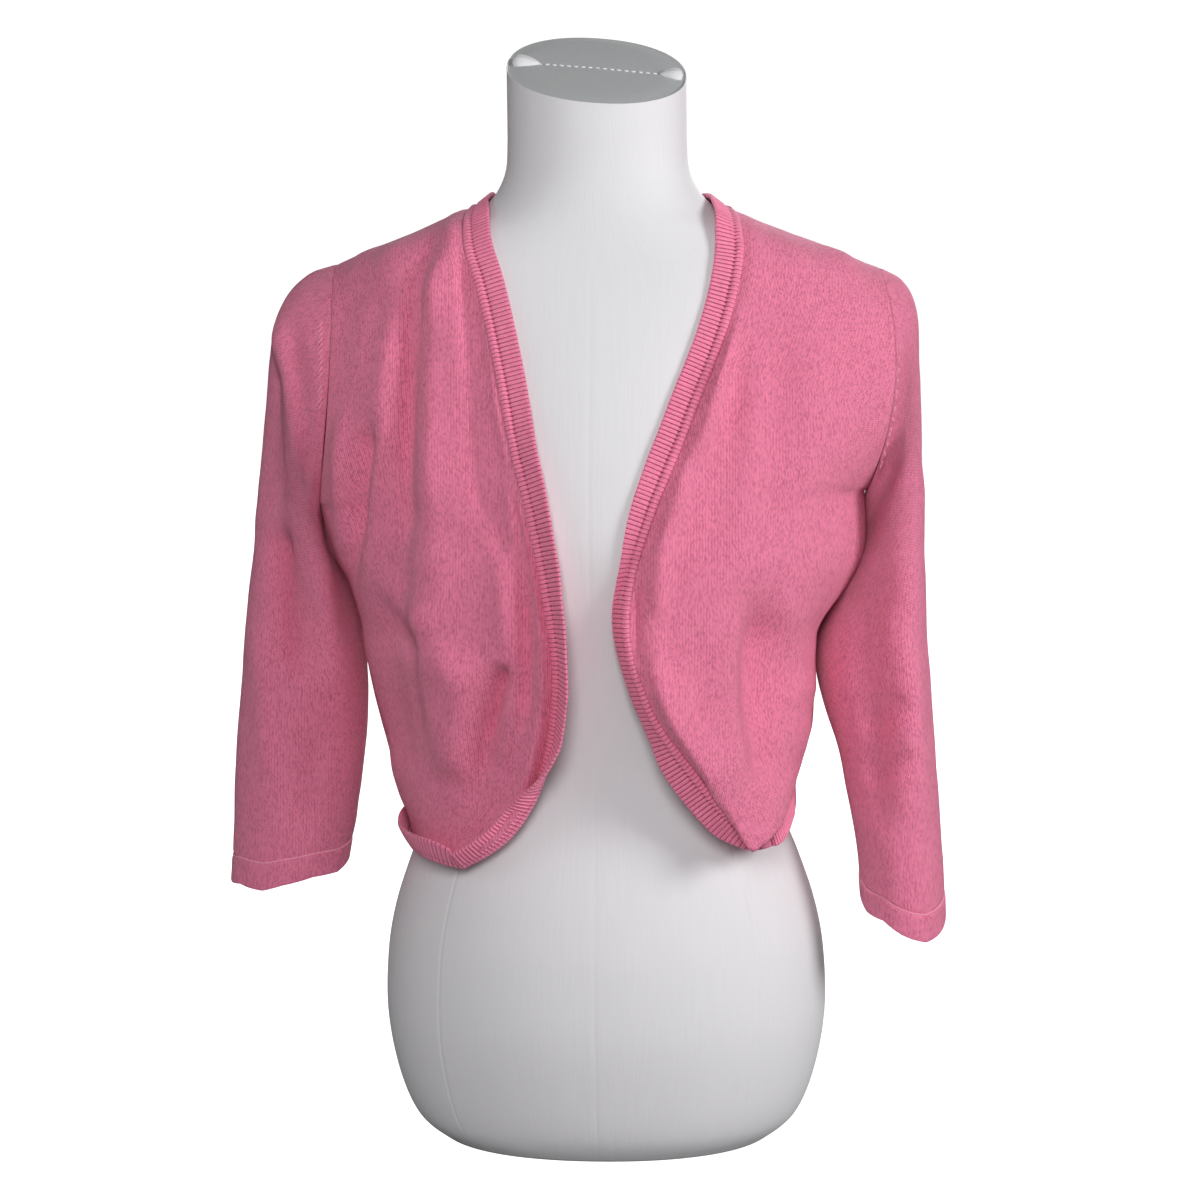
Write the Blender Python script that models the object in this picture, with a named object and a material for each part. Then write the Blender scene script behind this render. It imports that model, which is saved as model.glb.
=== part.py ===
"""A knitted shrug with three-quarter sleeves, worn by a limbless dress form.

Every length below is in millimetres and becomes metres in make_object. +X is the wearer's left,
-Y is the front, +Z is up, and the origin is the centre of the dress form's flat base.
"""

import math

import bpy
import bmesh
import numpy as np

METRES = 0.001
GAP = 0.3  # between pieces that are sewn together
WALL = 1.5  # fine-gauge knit
CUFF_WALL = 2.2  # the sleeve's turned hem, two layers
CUFF_DEPTH = 16.0
FORM_CLEARANCE = 4.4  # the cloth's outer face stays this far from the form
BAND_CLEARANCE = 3.1
LONGEST_MOVE = 8.0  # in one step, of a point that is moved clear of the form

# --- the dress form: horizontal sections -------------------------------------------------
# height, half width, depth in front of the centre, depth behind it
FORM_SECTIONS = np.array([
    (0, 105, 76, 76),
    (4, 114, 85, 85),
    (19, 131, 97, 97),
    (48, 143, 105, 106),
    (88, 150, 111, 112),
    (130, 149, 110, 112),
    (163, 143, 105, 106),
    (196, 132, 97, 96),
    (216, 124, 92, 89),
    (236, 119, 88, 84),
    (263, 117, 86, 80),
    (293, 121, 90, 80),
    (333, 131, 99, 85),
    (373, 142, 110, 91),
    (413, 147, 116, 95),
    (453, 147, 112, 97),
    (493, 149, 103, 98),
    (533, 156, 91, 97),
    (563, 164, 82, 93),
    (580, 168, 76, 88),
    (593, 164, 71, 82),
    (599, 151, 69, 79),
    (607, 131, 67, 76),
    (617, 107, 65, 72),
    (627, 85, 63, 68),
    (638, 72, 61, 65),
    (648, 65, 59, 63),
    (660, 61, 58, 62),
    (678, 60, 58, 62),
], float)
FORM_SQUARENESS = 2.15  # exponent of each section's outline; 2 is an ellipse
FORM_AROUND = 30
NECK_TOP = 723.0  # height of the neck's rim over the form's axis
NECK_TILT = 0.45  # how far the rim falls towards the front, mm per mm
NECK_LEAN = 0.10  # and towards the wearer's left
CAP_THICK = 3.0
CAP_DOME = 2.5
CAP_MIDDLE = 2.0  # its centre's place behind the form's axis
# The cap's rings from below: share of the neck's width, height over the rim
CAP_RINGS = ((0.985, GAP), (0.995, CAP_THICK / 2), (0.96, CAP_THICK), (0.6, CAP_THICK + CAP_DOME))

# --- the cut of the shrug ------------------------------------------------------------------
ARMHOLE_ROWS = 11  # rows of a panel beside the armhole
SIDE_ROWS = 14  # rows of a panel beside its side seam
FRONT_COLUMNS = 11
SHOULDER_COLUMNS = 6  # of the back, on each side, and the next line is behind the neck
NECK_COLUMNS = 4
ARMHOLE_FRONT = 52.0  # how far the armhole reaches forward of its middle, and back
ARMHOLE_BACK = 52.0
ARMHOLE_SLIMNESS = 1.25  # its height over its depth
SHOULDER_SLOPE = 0.35  # how far the cloth's face turns outwards at the armhole's top
ARMPIT_LEAN = 0.7  # and at its lowest point: inwards on the sleeve, outwards on the panels
ARMPIT_ON_BACK = 0.47  # share of the back's middle line above the armpits' height
NECK_BLEND_ROWS = 0.5 * ARMHOLE_ROWS  # of the back, which take up the shape of its neck edge
NECK_BLEND_POWER = 1.6
EASED_ROWS = slice(1, 5)  # of a panel, smoothed where it turns over the shoulder
EASING = 0.6

# Each front's inner edge, from the shoulder seam down to the rounded corner's lowest point.
# x is positive on both sides. turn is how far the band is turned out of the panel's surface,
# in degrees: below 0 towards the form, above 90 folded up over the outside.
EDGE_OF_RIGHT = np.array([
    # x, y, z, turn
    (87, 0, 633, -3),
    (87, -22, 629, 0),
    (85, -42, 618, 0),
    (82, -56, 600, 0),
    (73, -70, 574, -2),
    (64, -82, 538, -3),
    (56, -93, 502, 0),
    (49, -103, 468, 12),
    (41, -111, 438, 28),
    (35, -117, 406, 42),
    (30, -120, 376, 52),
    (26.5, -119.5, 354, 56),
    (25, -118, 337, 58),
    (25, -116, 320, 60),
    (26.7, -112, 304, 64),
    (29, -108, 289, 70),
    (32, -105, 276, 82),
    (34.5, -103, 266, 98),
    (37, -101, 256.5, 118),
    (40.5, -100, 248, 138),
    (45.5, -98, 238, 150),
    (54, -96, 226, 158),
    (64, -94, 217, 160),
    (74, -92, 210, 160),
    (87, -88, 203, 160),
], float)
EDGE_OF_LEFT = np.array([
    (91, 0, 629, -2),
    (94, -22, 626, 0),
    (97, -42, 619, 0),
    (99, -56, 604, 0),
    (97, -66, 585, 0),
    (92, -75, 562, -4),
    (83, -84, 534, -8),
    (71, -93, 505, -14),
    (59, -102, 474, -22),
    (47, -110, 446, -34),
    (38, -116, 420, -46),
    (30, -121, 394, -56),
    (26, -124, 368, -62),
    (28, -125, 343, -64),
    (36, -124, 319, -66),
    (43, -122, 302, -64),
    (51, -120, 289, -48),
    (59, -117, 278, -26),
    (68, -114, 266, -12),
    (77, -111, 254, -8),
    (86, -108, 243, -8),
    (95, -103, 234, -10),
    (106, -97, 229, -12),
], float)
# Turn of the hem's band from the corner (first) round to the side seam (last).
HEM_TURN = {"right": (160, 160, 162, 166, 172, 178), "left": (-12, 0, 12, 20, 24, 24)}
NECK_TURN = (-3, -12, -12, -12, -2)  # of the band behind the neck, shoulder to shoulder
BACK_HEM_TURN = (178, 172, 110, 40, 12, 5, 4, 5, 6, 8, 12, 18, 24)  # side seam to side seam
# The left front's slack hangs over its corner.
LOBE_WIDTH = 36.0
LOBE_OUT = 9.0  # of the surface
LOBE_DOWN = 25.0

# Armhole: its highest and lowest point and how far its middle stands out sideways.
ARMHOLE = {
    "right": {"top": (177, 597), "bottom": (190, 432), "bulge": -7.0},
    "left": {"top": (188, 590), "bottom": (178, 440), "bulge": 14.0},
}
# Side seam below the armhole: x, z
SIDE_SEAM = {
    "right": np.array([
        (190, 432), (184, 408), (174, 386), (165, 360), (162, 333),
        (158, 310), (153, 288), (145.5, 260), (140, 242), (134, 228), (130.6, 212),
    ], float),
    "left": np.array([
        (178, 440), (179, 420), (178, 402), (171, 387), (160, 371),
        (149, 356), (143, 338), (143, 312), (142, 287), (137, 266), (131, 250),
    ], float),
}
# The back: its neck edge from a shoulder's neck end (given by the front's edge) to the middle.
BACK_NECK = np.array([(85, 20, 632), (79, 38, 629), (63, 56, 627), (36, 70, 626), (0, 75, 625)], float)
# The back's middle line from the neck down: y, z
BACK_MIDDLE = np.array([
    (75, 625), (80, 612), (90, 587), (98, 553), (104, 513), (106, 473), (104, 434),
    (101, 393), (98, 348), (96, 303), (96, 263), (98, 234), (100, 210),
], float)

# Sleeves: rings from the armhole to the cuff. The outer point is the one away from the body.
SLEEVE = {
    # outer x, outer z, inner x, inner z, depth to the front and back, middle y, bulge, how far the
    # front hangs lower than the middle, and how far the inner point lies behind the middle
    "right": np.array([
        (177, 597, 190, 432, 52, 0, -7, 0, 0),
        (199, 589, 189.5, 418, 53, 0, -5, 0, 2),
        (214, 573, 185.5, 403, 53, 0, 0, 0, 6),
        (223, 540, 177.5, 386, 51, 0, 5, 0, 10),
        (228, 496, 170.5, 369, 49, -1, 6, 0, 12),
        (233, 450, 166.5, 352, 47, -2, 3, 0, 13),
        (238, 404, 164.5, 334, 45, -3, 0, 0, 14),
        (243, 356, 163, 310, 42, -5, 0, 0, 10),
        (248, 306, 163, 281, 39, -7, 0, 1, 5),
        (252, 260, 165, 251, 36, -9, 0, 2, 0),
        (254, 222, 169, 225, 34, -11, 0, 4, 0),
        (255, 193, 173, 209, 32, -12, 0, 6, 0),
        (256, 178, 175, 198, 31, -13, 0, 8, 0),
    ], float),
    "left": np.array([
        (188, 590, 178, 440, 52, 0, 14, 0, 0),
        (203, 582, 180.6, 424, 53, 0, 10, 0, 2),
        (212, 564, 179, 408, 53, 0, 8, 0, 10),
        (214.5, 530, 174, 393, 52, 0, 8, 0, 15),
        (216, 493, 165, 378, 51, -1, 8, 0, 18),
        (217, 453, 152.5, 360, 50, -2, 6, 0, 22),
        (218, 408, 144.5, 340, 48, -4, 2, 0, 23),
        (219, 360, 145.5, 318, 47, -6, 0, 1, 18),
        (222, 310, 152, 290, 45, -8, 0, 2, 10),
        (225, 268, 161, 262, 43, -11, 0, 4, 4),
        (228, 228, 167, 232, 41, -14, 0, 7, 0),
        (230, 191, 172, 200, 40, -17, 0, 10, 0),
        (231, 156, 174, 169, 39, -20, 0, 13, 0),
    ], float),
}
SLEEVE_ROWS = 16

# Folds, seen from the front (or, for the back, from behind with x as it is): a bent line through
# three points, its half width and its height over the cloth. Below 0 is a trough.
FOLD_COLUMNS = ("x0", "z0", "x1", "z1", "x2", "z2", "half_width", "height")
FOLDS = {
    "front_right": (
        (-103, 588, -117, 480, -118, 403, 14, -6.0),
        (-89, 578, -90, 506, -91, 428, 11, 3.0),
        (-76, 588, -70, 488, -64, 408, 9, -4.5),
        (-146, 493, -160, 453, -163, 403, 11, -5.0),
        (-53, 480, -44, 415, -40, 323, 8, -5.0),
        (-55, 340, -67, 306, -78, 250, 8, -8.0),
        (-150, 388, -131, 354, -112, 333, 9, -4.0),
        (-116, 366, -113, 329, -119, 273, 13, -5.0),
        (-96, 360, -92, 310, -98, 250, 13, 6.0),
    ),
    "front_left": (
        (94, 588, 66, 486, 30, 360, 13, 4.5),
        (44, 340, 60, 293, 92, 242, 15, 8.0),
        (110, 354, 113, 320, 112, 284, 13, -7.0),
        (136, 338, 137, 318, 136, 298, 9, 4.0),
        (150, 458, 132, 413, 122, 368, 14, -4.0),
    ),
    "back": (
        (-112, 548, -100, 468, -96, 388, 15, -5.0),
        (108, 553, 98, 473, 90, 398, 15, -5.0),
        (-60, 408, -66, 328, -72, 250, 13, 5.0),
        (-20, 428, -16, 338, -20, 250, 13, -4.0),
        (52, 418, 60, 333, 66, 253, 13, 5.0),
        (-150, 388, -120, 338, -104, 288, 12, -5.0),
        (144, 393, 118, 343, 104, 288, 12, -5.0),
    ),
    "sleeve_right": (
        (-207, 568, -202, 488, -196, 411, 9, -6.0),
        (-196, 413, -184, 360, -170, 278, 11, 4.0),
        (-218, 428, -204, 383, -182, 320, 11, -6.0),
    ),
    "sleeve_left": (
        (205, 548, 196, 488, 190, 428, 11, -4.0),
        (174, 280, 192, 296, 204, 306, 9, -5.0),
        (172, 250, 190, 260, 212, 268, 10, -4.0),
    ),
}
FOLD_FADE = 26.0  # folds die out this far from a hem
FOLD_REST = 0.15  # how far up its rise a fold's two ends start

# --- the ribbed band -----------------------------------------------------------------------
STRIP_WIDTH = 6.0  # where the band is linked to the cloth
RIB_LENGTH = 13.0
RIB_PITCH = 2.9
RIB_HEIGHT = 0.7
STRIP_STEPS = 3
FOLDED_BEND = 3.0  # the length over which a band is bent where it is folded right up
# Turn in degrees over which a band changes from ribs on its outer face to ribs on its other one.
FOLDED_FROM = 70.0
FOLDED_OVER = 40.0


# --- curves and tables ---------------------------------------------------------------------
def read_table(rows, t):
    """A smooth curve through the rows of a table, at t from 0 (first row) to 1 (last)."""
    rows = np.asarray(rows, float)
    last = len(rows) - 1
    at = min(max(t, 0.0), 1.0) * last
    i = min(int(at), last - 1)
    f = at - i
    a, b = rows[i], rows[i + 1]
    before = rows[i - 1] if i > 0 else 2 * a - b
    after = rows[i + 2] if i + 2 <= last else 2 * b - a
    return 0.5 * (
        2 * a
        + (b - before) * f
        + (2 * before - 5 * a + 4 * b - after) * f * f
        + (3 * a - before - 3 * b + after) * f ** 3
    )


def evenly(rows, fractions, width=3, dense=400):
    """Points of the curve through rows at these fractions of its length in the first columns."""
    curve = np.array([read_table(rows, i / dense) for i in range(dense + 1)])
    steps = np.linalg.norm(np.diff(curve[:, :width], axis=0), axis=1)
    length = np.concatenate([[0.0], np.cumsum(steps)])
    wanted = np.asarray(fractions) * length[-1]
    return np.stack([np.interp(wanted, length, column) for column in curve.T], 1)


def spread(values, count):
    """This many values of the smooth curve through a row of values."""
    table = [(value,) for value in values]
    return np.array([read_table(table, i / (count - 1))[0] for i in range(count)])


def unit(v):
    v = np.asarray(v, float)
    return v / np.maximum(np.linalg.norm(v, axis=-1, keepdims=True), 1e-9)


def smooth(x):
    x = min(max(x, 0.0), 1.0)
    return x * x * (3 - 2 * x)


# --- the dress form ------------------------------------------------------------------------
def form_profile():
    return np.array([read_table(FORM_SECTIONS, i / 600) for i in range(601)])


PROFILE = form_profile()


def form_size(z):
    """Half width, front depth and back depth of the form at a height."""
    return [np.interp(z, PROFILE[:, 0], PROFILE[:, i]) for i in (1, 2, 3)]


def section_point(z, angle, size):
    """A point of a horizontal section; angle 0 is +X and 90 degrees the back."""
    half, front, back = size
    c, s = math.cos(angle), math.sin(angle)
    power = 2 / FORM_SQUARENESS
    x = math.copysign(abs(c) ** power, c) * half
    y = math.copysign(abs(s) ** power, s) * (back if s > 0 else front)
    return np.array([x, y, z])


def form_reach(point):
    """1 on the form's surface, more outside it."""
    half, front, back = form_size(point[2])
    depth = back if point[1] > 0 else front
    reach = abs(point[0] / half) ** FORM_SQUARENESS + abs(point[1] / depth) ** FORM_SQUARENESS
    return reach ** (1 / FORM_SQUARENESS)


def clear_of_form(point, clearance):
    """The point, moved straight out of the form if it is nearer to it than the clearance."""
    point = np.array(point, float)
    for _ in range(4):
        reach = form_reach(point)
        slope = np.array([form_reach(point + step) - reach for step in np.eye(3)])
        steepness = np.linalg.norm(slope)
        lack = clearance - (reach - 1) / steepness
        if lack <= 0:
            break
        point += slope / steepness * min(lack, LONGEST_MOVE)
    return point


def rim_height(x, y):
    middle = (FORM_SECTIONS[-1][3] - FORM_SECTIONS[-1][2]) / 2
    return NECK_TOP + NECK_TILT * (y - middle) - NECK_LEAN * x


def around(size, z):
    return [section_point(z, 2 * math.pi * i / FORM_AROUND, size) for i in range(FORM_AROUND)]


def build_form():
    rings = [around(row[1:], row[0]) for row in FORM_SECTIONS]
    for share in (0.5, 1.0):
        ring = around(FORM_SECTIONS[-1][1:], FORM_SECTIONS[-1][0])
        for p in ring:
            p[2] += share * (rim_height(p[0], p[1]) - p[2])
        rings.append(ring)
    mesh = bmesh.new()
    loops = [[mesh.verts.new(p) for p in ring] for ring in rings]
    for low, high in zip(loops, loops[1:]):
        join_rings(mesh, low, high)
    mesh.faces.new(loops[0])
    mesh.faces.new(loops[-1])
    make_object("form_body", mesh, "form")


def build_cap():
    """The neck's grey cap: a thin disc, slightly domed, on the tilted rim."""
    size = FORM_SECTIONS[-1][1:]
    mesh = bmesh.new()
    loops = []
    for share, height in CAP_RINGS:
        ring = around(size * share, 0.0)
        for p in ring:
            p[2] = rim_height(p[0], p[1]) + height
        loops.append([mesh.verts.new(p) for p in ring])
    for low, high in zip(loops, loops[1:]):
        join_rings(mesh, low, high)
    for loop, height in ((loops[0], GAP), (loops[-1], CAP_THICK + CAP_DOME)):
        middle = mesh.verts.new((0, CAP_MIDDLE, rim_height(0, CAP_MIDDLE) + height))
        for a, b in zip(loop, loop[1:] + loop[:1]):
            mesh.faces.new((a, b, middle))
    make_object("form_cap", mesh, "cap")


def join_rings(mesh, low, high):
    for i in range(len(low)):
        k = (i + 1) % len(low)
        mesh.faces.new((low[i], low[k], high[k], high[i]))


# --- objects and materials -----------------------------------------------------------------
FINISHES = {
    # colour (linear), roughness
    "form": ((0.80, 0.79, 0.82), 0.75),
    "cap": ((0.33, 0.34, 0.34), 0.8),
    "knit": ((0.72, 0.17, 0.28), 0.85),
    "rib": ((0.70, 0.15, 0.26), 0.85),
}


def make_object(name, mesh, finish):
    bmesh.ops.recalc_face_normals(mesh, faces=mesh.faces)
    bmesh.ops.scale(mesh, vec=(METRES,) * 3, verts=mesh.verts)
    data = bpy.data.meshes.new(name)
    mesh.to_mesh(data)
    mesh.free()
    data.shade_smooth()
    data.set_sharp_from_angle(angle=math.radians(50))
    colour, roughness = FINISHES[finish]
    material = bpy.data.materials.new(name + "_finish")
    material.use_nodes = True
    shader = material.node_tree.nodes["Principled BSDF"]
    shader.inputs["Base Color"].default_value = (*colour, 1)
    shader.inputs["Roughness"].default_value = roughness
    shader.inputs["Metallic"].default_value = 0
    data.materials.append(material)
    bpy.context.collection.objects.link(bpy.data.objects.new(name, data))


# --- folds ---------------------------------------------------------------------------------
def fold_height(piece, x, z):
    """Sum of the piece's folds at a place of its front view."""
    total = 0.0
    for row in FOLDS.get(piece, ()):
        fold = dict(zip(FOLD_COLUMNS, row))
        line = np.array([
            (fold["x0"], fold["z0"]), (fold["x1"], fold["z1"]), (fold["x2"], fold["z2"]),
        ], float)
        best, along = 1e9, 0.0
        for i in (0, 1):
            a, b = line[i], line[i + 1]
            f = np.clip(np.dot((x, z) - a, b - a) / np.dot(b - a, b - a), 0, 1)
            distance = np.linalg.norm((x, z) - (a + f * (b - a)))
            if distance < best:
                best, along = distance, (i + f) / 2
        ends = smooth(min(along, 1 - along) * 5 + FOLD_REST)
        total += fold["height"] * ends * math.exp(-((best / fold["half_width"]) ** 2))
    return total


# --- panels --------------------------------------------------------------------------------
def sign_of(side):
    return -1.0 if side == "right" else 1.0


def armhole_point(side, angle):
    """A point of the armhole; angle 0 is the shoulder, 180 degrees the armpit, 90 the front."""
    hole = ARMHOLE[side]
    (tx, tz), (bx, bz) = hole["top"], hole["bottom"]
    c, s = math.cos(angle), math.sin(angle)
    x = (tx + bx) / 2 + (tx - bx) / 2 * c + hole["bulge"] * s * s
    z = (tz + bz) / 2 + (tz - bz) / 2 * c
    y = -s * (ARMHOLE_FRONT if s > 0 else ARMHOLE_BACK)
    return np.array([sign_of(side) * x, y, z])


def armhole_normal(side, angle, lean):
    """Out of the sleeve and the panel; lean opens the two at the armpit, where they turn apart."""
    c, s = math.cos(angle), math.sin(angle)
    sideways = SHOULDER_SLOPE * max(c, 0.0) + lean * max(-c, 0.0)
    return unit([sign_of(side) * sideways, -ARMHOLE_SLIMNESS * s, c])


def shoulder_normal(side):
    """Square to the shoulder seam, with no part along Y."""
    hole = ARMHOLE[side]["top"]
    neck = (EDGE_OF_RIGHT if side == "right" else EDGE_OF_LEFT)[0]
    return unit([sign_of(side) * (neck[2] - hole[1]), 0, hole[0] - neck[0]])


def outer_edge(side, front):
    """The points and normals of a panel's edge at the armhole and the side seam."""
    turn = 1 if front else -1
    away = -1 if front else 1
    points, normals = [], []
    for k in range(ARMHOLE_ROWS + 1):
        angle = turn * math.pi * k / ARMHOLE_ROWS
        p = armhole_point(side, angle)
        p[0] -= sign_of(side) * GAP / 2
        n = armhole_normal(side, angle, ARMPIT_LEAN) if k else shoulder_normal(side)
        if k in (0, ARMHOLE_ROWS):
            p[1] = away * GAP / 2
            n = unit([n[0], 0, n[2]])
        points.append(p)
        normals.append(n)
    seam = evenly(SIDE_SEAM[side], np.linspace(0, 1, SIDE_ROWS + 1), width=2)
    for k in range(1, SIDE_ROWS + 1):
        before, after = seam[k - 1], seam[min(k + 1, SIDE_ROWS)]
        along = unit(before - after)
        points.append(np.array([sign_of(side) * seam[k][0], away * GAP / 2, seam[k][1]]))
        normals.append(np.array([sign_of(side) * along[1], 0, -along[0]]))
    return np.array(points), np.array(normals)


def inner_edge(side):
    """The points and band turns of a front's inner edge, one for each row."""
    table = EDGE_OF_RIGHT if side == "right" else EDGE_OF_LEFT
    dense = evenly(table, np.linspace(0, 1, 401))
    armpit = ARMHOLE[side]["bottom"][1]
    share = np.argmax(dense[:, 2] < armpit) / 400
    fractions = np.concatenate([
        np.linspace(0, share, ARMHOLE_ROWS + 1),
        np.linspace(share, 1, SIDE_ROWS + 1)[1:],
    ])
    rows = evenly(table, fractions)
    rows[:, 0] *= sign_of(side)
    rows[0, 1] = -GAP / 2
    return rows[:, :3], rows[:, 3]


def roundness(row):
    """How much of a quarter circle a row is: none along the shoulder, all of it at the side seam."""
    return smooth(row / ARMHOLE_ROWS)


def row_point(outer, inner, s, round_share):
    """A point of the row between two edges, which leaves the outer one at right angles."""
    bend = math.sin(s * math.pi / 2)
    across = (1 - round_share) * s + round_share * (1 - math.cos(s * math.pi / 2))
    return np.array([
        outer[0] + (inner[0] - outer[0]) * across,
        outer[1] + (inner[1] - outer[1]) * bend,
        outer[2] + (inner[2] - outer[2]) * s,
    ])


def grid_normals(points, away_from):
    """Normals of a grid of points, on the side away from a point of each row."""
    down = np.gradient(points, axis=0)
    across = np.gradient(points, axis=1)
    normals = unit(np.cross(down, across))
    out = points - away_from[:, None, :]
    flip = np.sign((normals * out).sum(2).sum())
    return normals * flip


def row_centres(points):
    centre = points.mean(1)
    centre[:, 0] *= 0.3
    centre[:, 1] = 0
    return centre


def raise_folds(piece, points, normals):
    """The grid with its folds, which die out at its edges."""
    rows, columns = points.shape[:2]
    raised = points.copy()
    for i in range(1, rows - 1):
        for k in range(1, columns - 1):
            hem = np.linalg.norm(points[i, k] - points[-1, k])
            fade = min(1.0, hem / FOLD_FADE)
            height = fold_height(piece, points[i, k][0], points[i, k][2])
            raised[i, k] += normals[i, k] * height * fade
    return raised


def hang_over(grid):
    """The grid with the slack that hangs over the corner; its seams stay."""
    normals = grid_normals(grid, row_centres(grid))
    share = np.exp(-((np.linalg.norm(grid - grid[-1, -1], axis=2) / LOBE_WIDTH) ** 2))
    hung = grid + share[:, :, None] * (normals * LOBE_OUT - (0, 0, LOBE_DOWN))
    hung[0], hung[-1] = grid[0], grid[-1]
    hung[:, 0], hung[:, -1] = grid[:, 0], grid[:, -1]
    return hung


def set_clear(grid, last_fixed):
    """The grid clear of the form: its points first, then, eased once, the middles of its faces.

    The first row and the first column are seams and stay. So do the last_fixed last columns.
    """
    rows, columns = grid.shape[:2]
    for r in range(1, rows):
        for c in range(1, columns - last_fixed):
            grid[r, c] = clear_of_form(grid[r, c], FORM_CLEARANCE)
    eased = grid.copy()
    eased[1:-1, 1:-1] = 0.25 * (grid[:-2, 1:-1] + grid[2:, 1:-1] + grid[1:-1, :-2] + grid[1:-1, 2:])
    grid[EASED_ROWS, 1:-1] += EASING * (eased - grid)[EASED_ROWS, 1:-1]
    for _ in range(3):
        shift = np.zeros_like(grid)
        for r in range(rows - 1):
            for c in range(columns - 1):
                middle = grid[r:r + 2, c:c + 2].mean((0, 1))
                move = clear_of_form(middle, FORM_CLEARANCE) - middle
                for spot in ((r, c), (r, c + 1), (r + 1, c), (r + 1, c + 1)):
                    if np.linalg.norm(move) > np.linalg.norm(shift[spot]):
                        shift[spot] = move
        grid[1:, 1:-1] += shift[1:, 1:-1]
    return grid


def build_front(side):
    """A front panel and, from its inner edge and hem, the band that is linked to it."""
    outer, outer_normals = outer_edge(side, True)
    inner, turns = inner_edge(side)
    rows = len(outer)
    name = "front_" + side
    grid = np.array([
        [
            row_point(outer[r], inner[r], c / FRONT_COLUMNS, roundness(r))
            for c in range(FRONT_COLUMNS + 1)
        ]
        for r in range(rows)
    ])
    normals = grid_normals(grid, row_centres(grid))
    grid = raise_folds(name, grid, normals)
    grid = set_clear(grid, 0)
    normals = grid_normals(grid, row_centres(grid))
    normals[:, 0] = outer_normals
    normals[0, :] = shoulder_normal(side)
    hem = np.arange(FRONT_COLUMNS - 1, -1, -1)
    path = np.concatenate([grid[:, -1], grid[-1, hem]])
    path_normals = np.concatenate([normals[:, -1], normals[-1, hem]])
    inside = np.concatenate([grid[:, -2], grid[-2, hem]])
    hem_turns = spread(HEM_TURN[side], FRONT_COLUMNS + 1)[1:]

    if side == "left":
        grid = hang_over(grid)
        hung_normals = grid_normals(grid, row_centres(grid))
        normals[1:, 1:] = hung_normals[1:, 1:]
    build_wall(name, grid, normals, np.full(grid.shape[:2], WALL), "knit")
    build_band("band_front_" + side, path, path_normals, inside, np.concatenate([turns, hem_turns]))


def back_half(side):
    """The back from one side's seams to its middle line, as a grid of points and edge normals."""
    outer, outer_normals = outer_edge(side, False)
    rows = len(outer)
    columns = SHOULDER_COLUMNS + NECK_COLUMNS
    table = EDGE_OF_RIGHT if side == "right" else EDGE_OF_LEFT
    neck_end = np.array([sign_of(side) * table[0][0], GAP / 2, table[0][2]])
    shoulder = [
        outer[0] + (neck_end - outer[0]) * i / SHOULDER_COLUMNS for i in range(SHOULDER_COLUMNS + 1)
    ]
    neck = evenly(np.vstack([np.abs(neck_end), BACK_NECK]), np.linspace(0, 1, NECK_COLUMNS + 1))
    neck[:, 0] *= sign_of(side)
    top = np.vstack([shoulder, neck[1:]])
    middle = evenly(BACK_MIDDLE, np.concatenate([
        np.linspace(0, ARMPIT_ON_BACK, ARMHOLE_ROWS + 1),
        np.linspace(ARMPIT_ON_BACK, 1, SIDE_ROWS + 1)[1:],
    ]), width=2)
    grid = np.zeros((rows, columns + 1, 3))
    for r in range(rows):
        inner = np.array([0, middle[r][0], middle[r][1]])
        for c in range(columns + 1):
            grid[r, c] = row_point(outer[r], inner, c / columns, roundness(r))
    shift = top - grid[0]
    for r in range(rows):
        weight = max(0.0, 1 - r / NECK_BLEND_ROWS) ** NECK_BLEND_POWER
        grid[r] += shift * weight
    return grid, outer_normals


def build_back():
    right, right_normals = back_half("right")
    left, left_normals = back_half("left")
    grid = np.concatenate([right, left[:, -2::-1]], axis=1)
    rows, columns = grid.shape[:2]
    normals = grid_normals(grid, row_centres(grid))
    grid = raise_folds("back", grid, normals)
    grid = set_clear(grid, 1)
    normals = grid_normals(grid, row_centres(grid))
    normals[:, 0] = right_normals
    normals[:, -1] = left_normals
    normals[0, :SHOULDER_COLUMNS + 1] = shoulder_normal("right")
    normals[0, columns - 1 - SHOULDER_COLUMNS:] = shoulder_normal("left")
    build_wall("back", grid, normals, np.full((rows, columns), WALL), "knit")

    neck = slice(SHOULDER_COLUMNS, columns - SHOULDER_COLUMNS)
    turns = spread(NECK_TURN, columns - 2 * SHOULDER_COLUMNS)
    build_band("band_neck_back", grid[0, neck], normals[0, neck], grid[1, neck], turns)
    build_band("band_hem_back", grid[-1], normals[-1], grid[-2], spread(BACK_HEM_TURN, columns))


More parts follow.
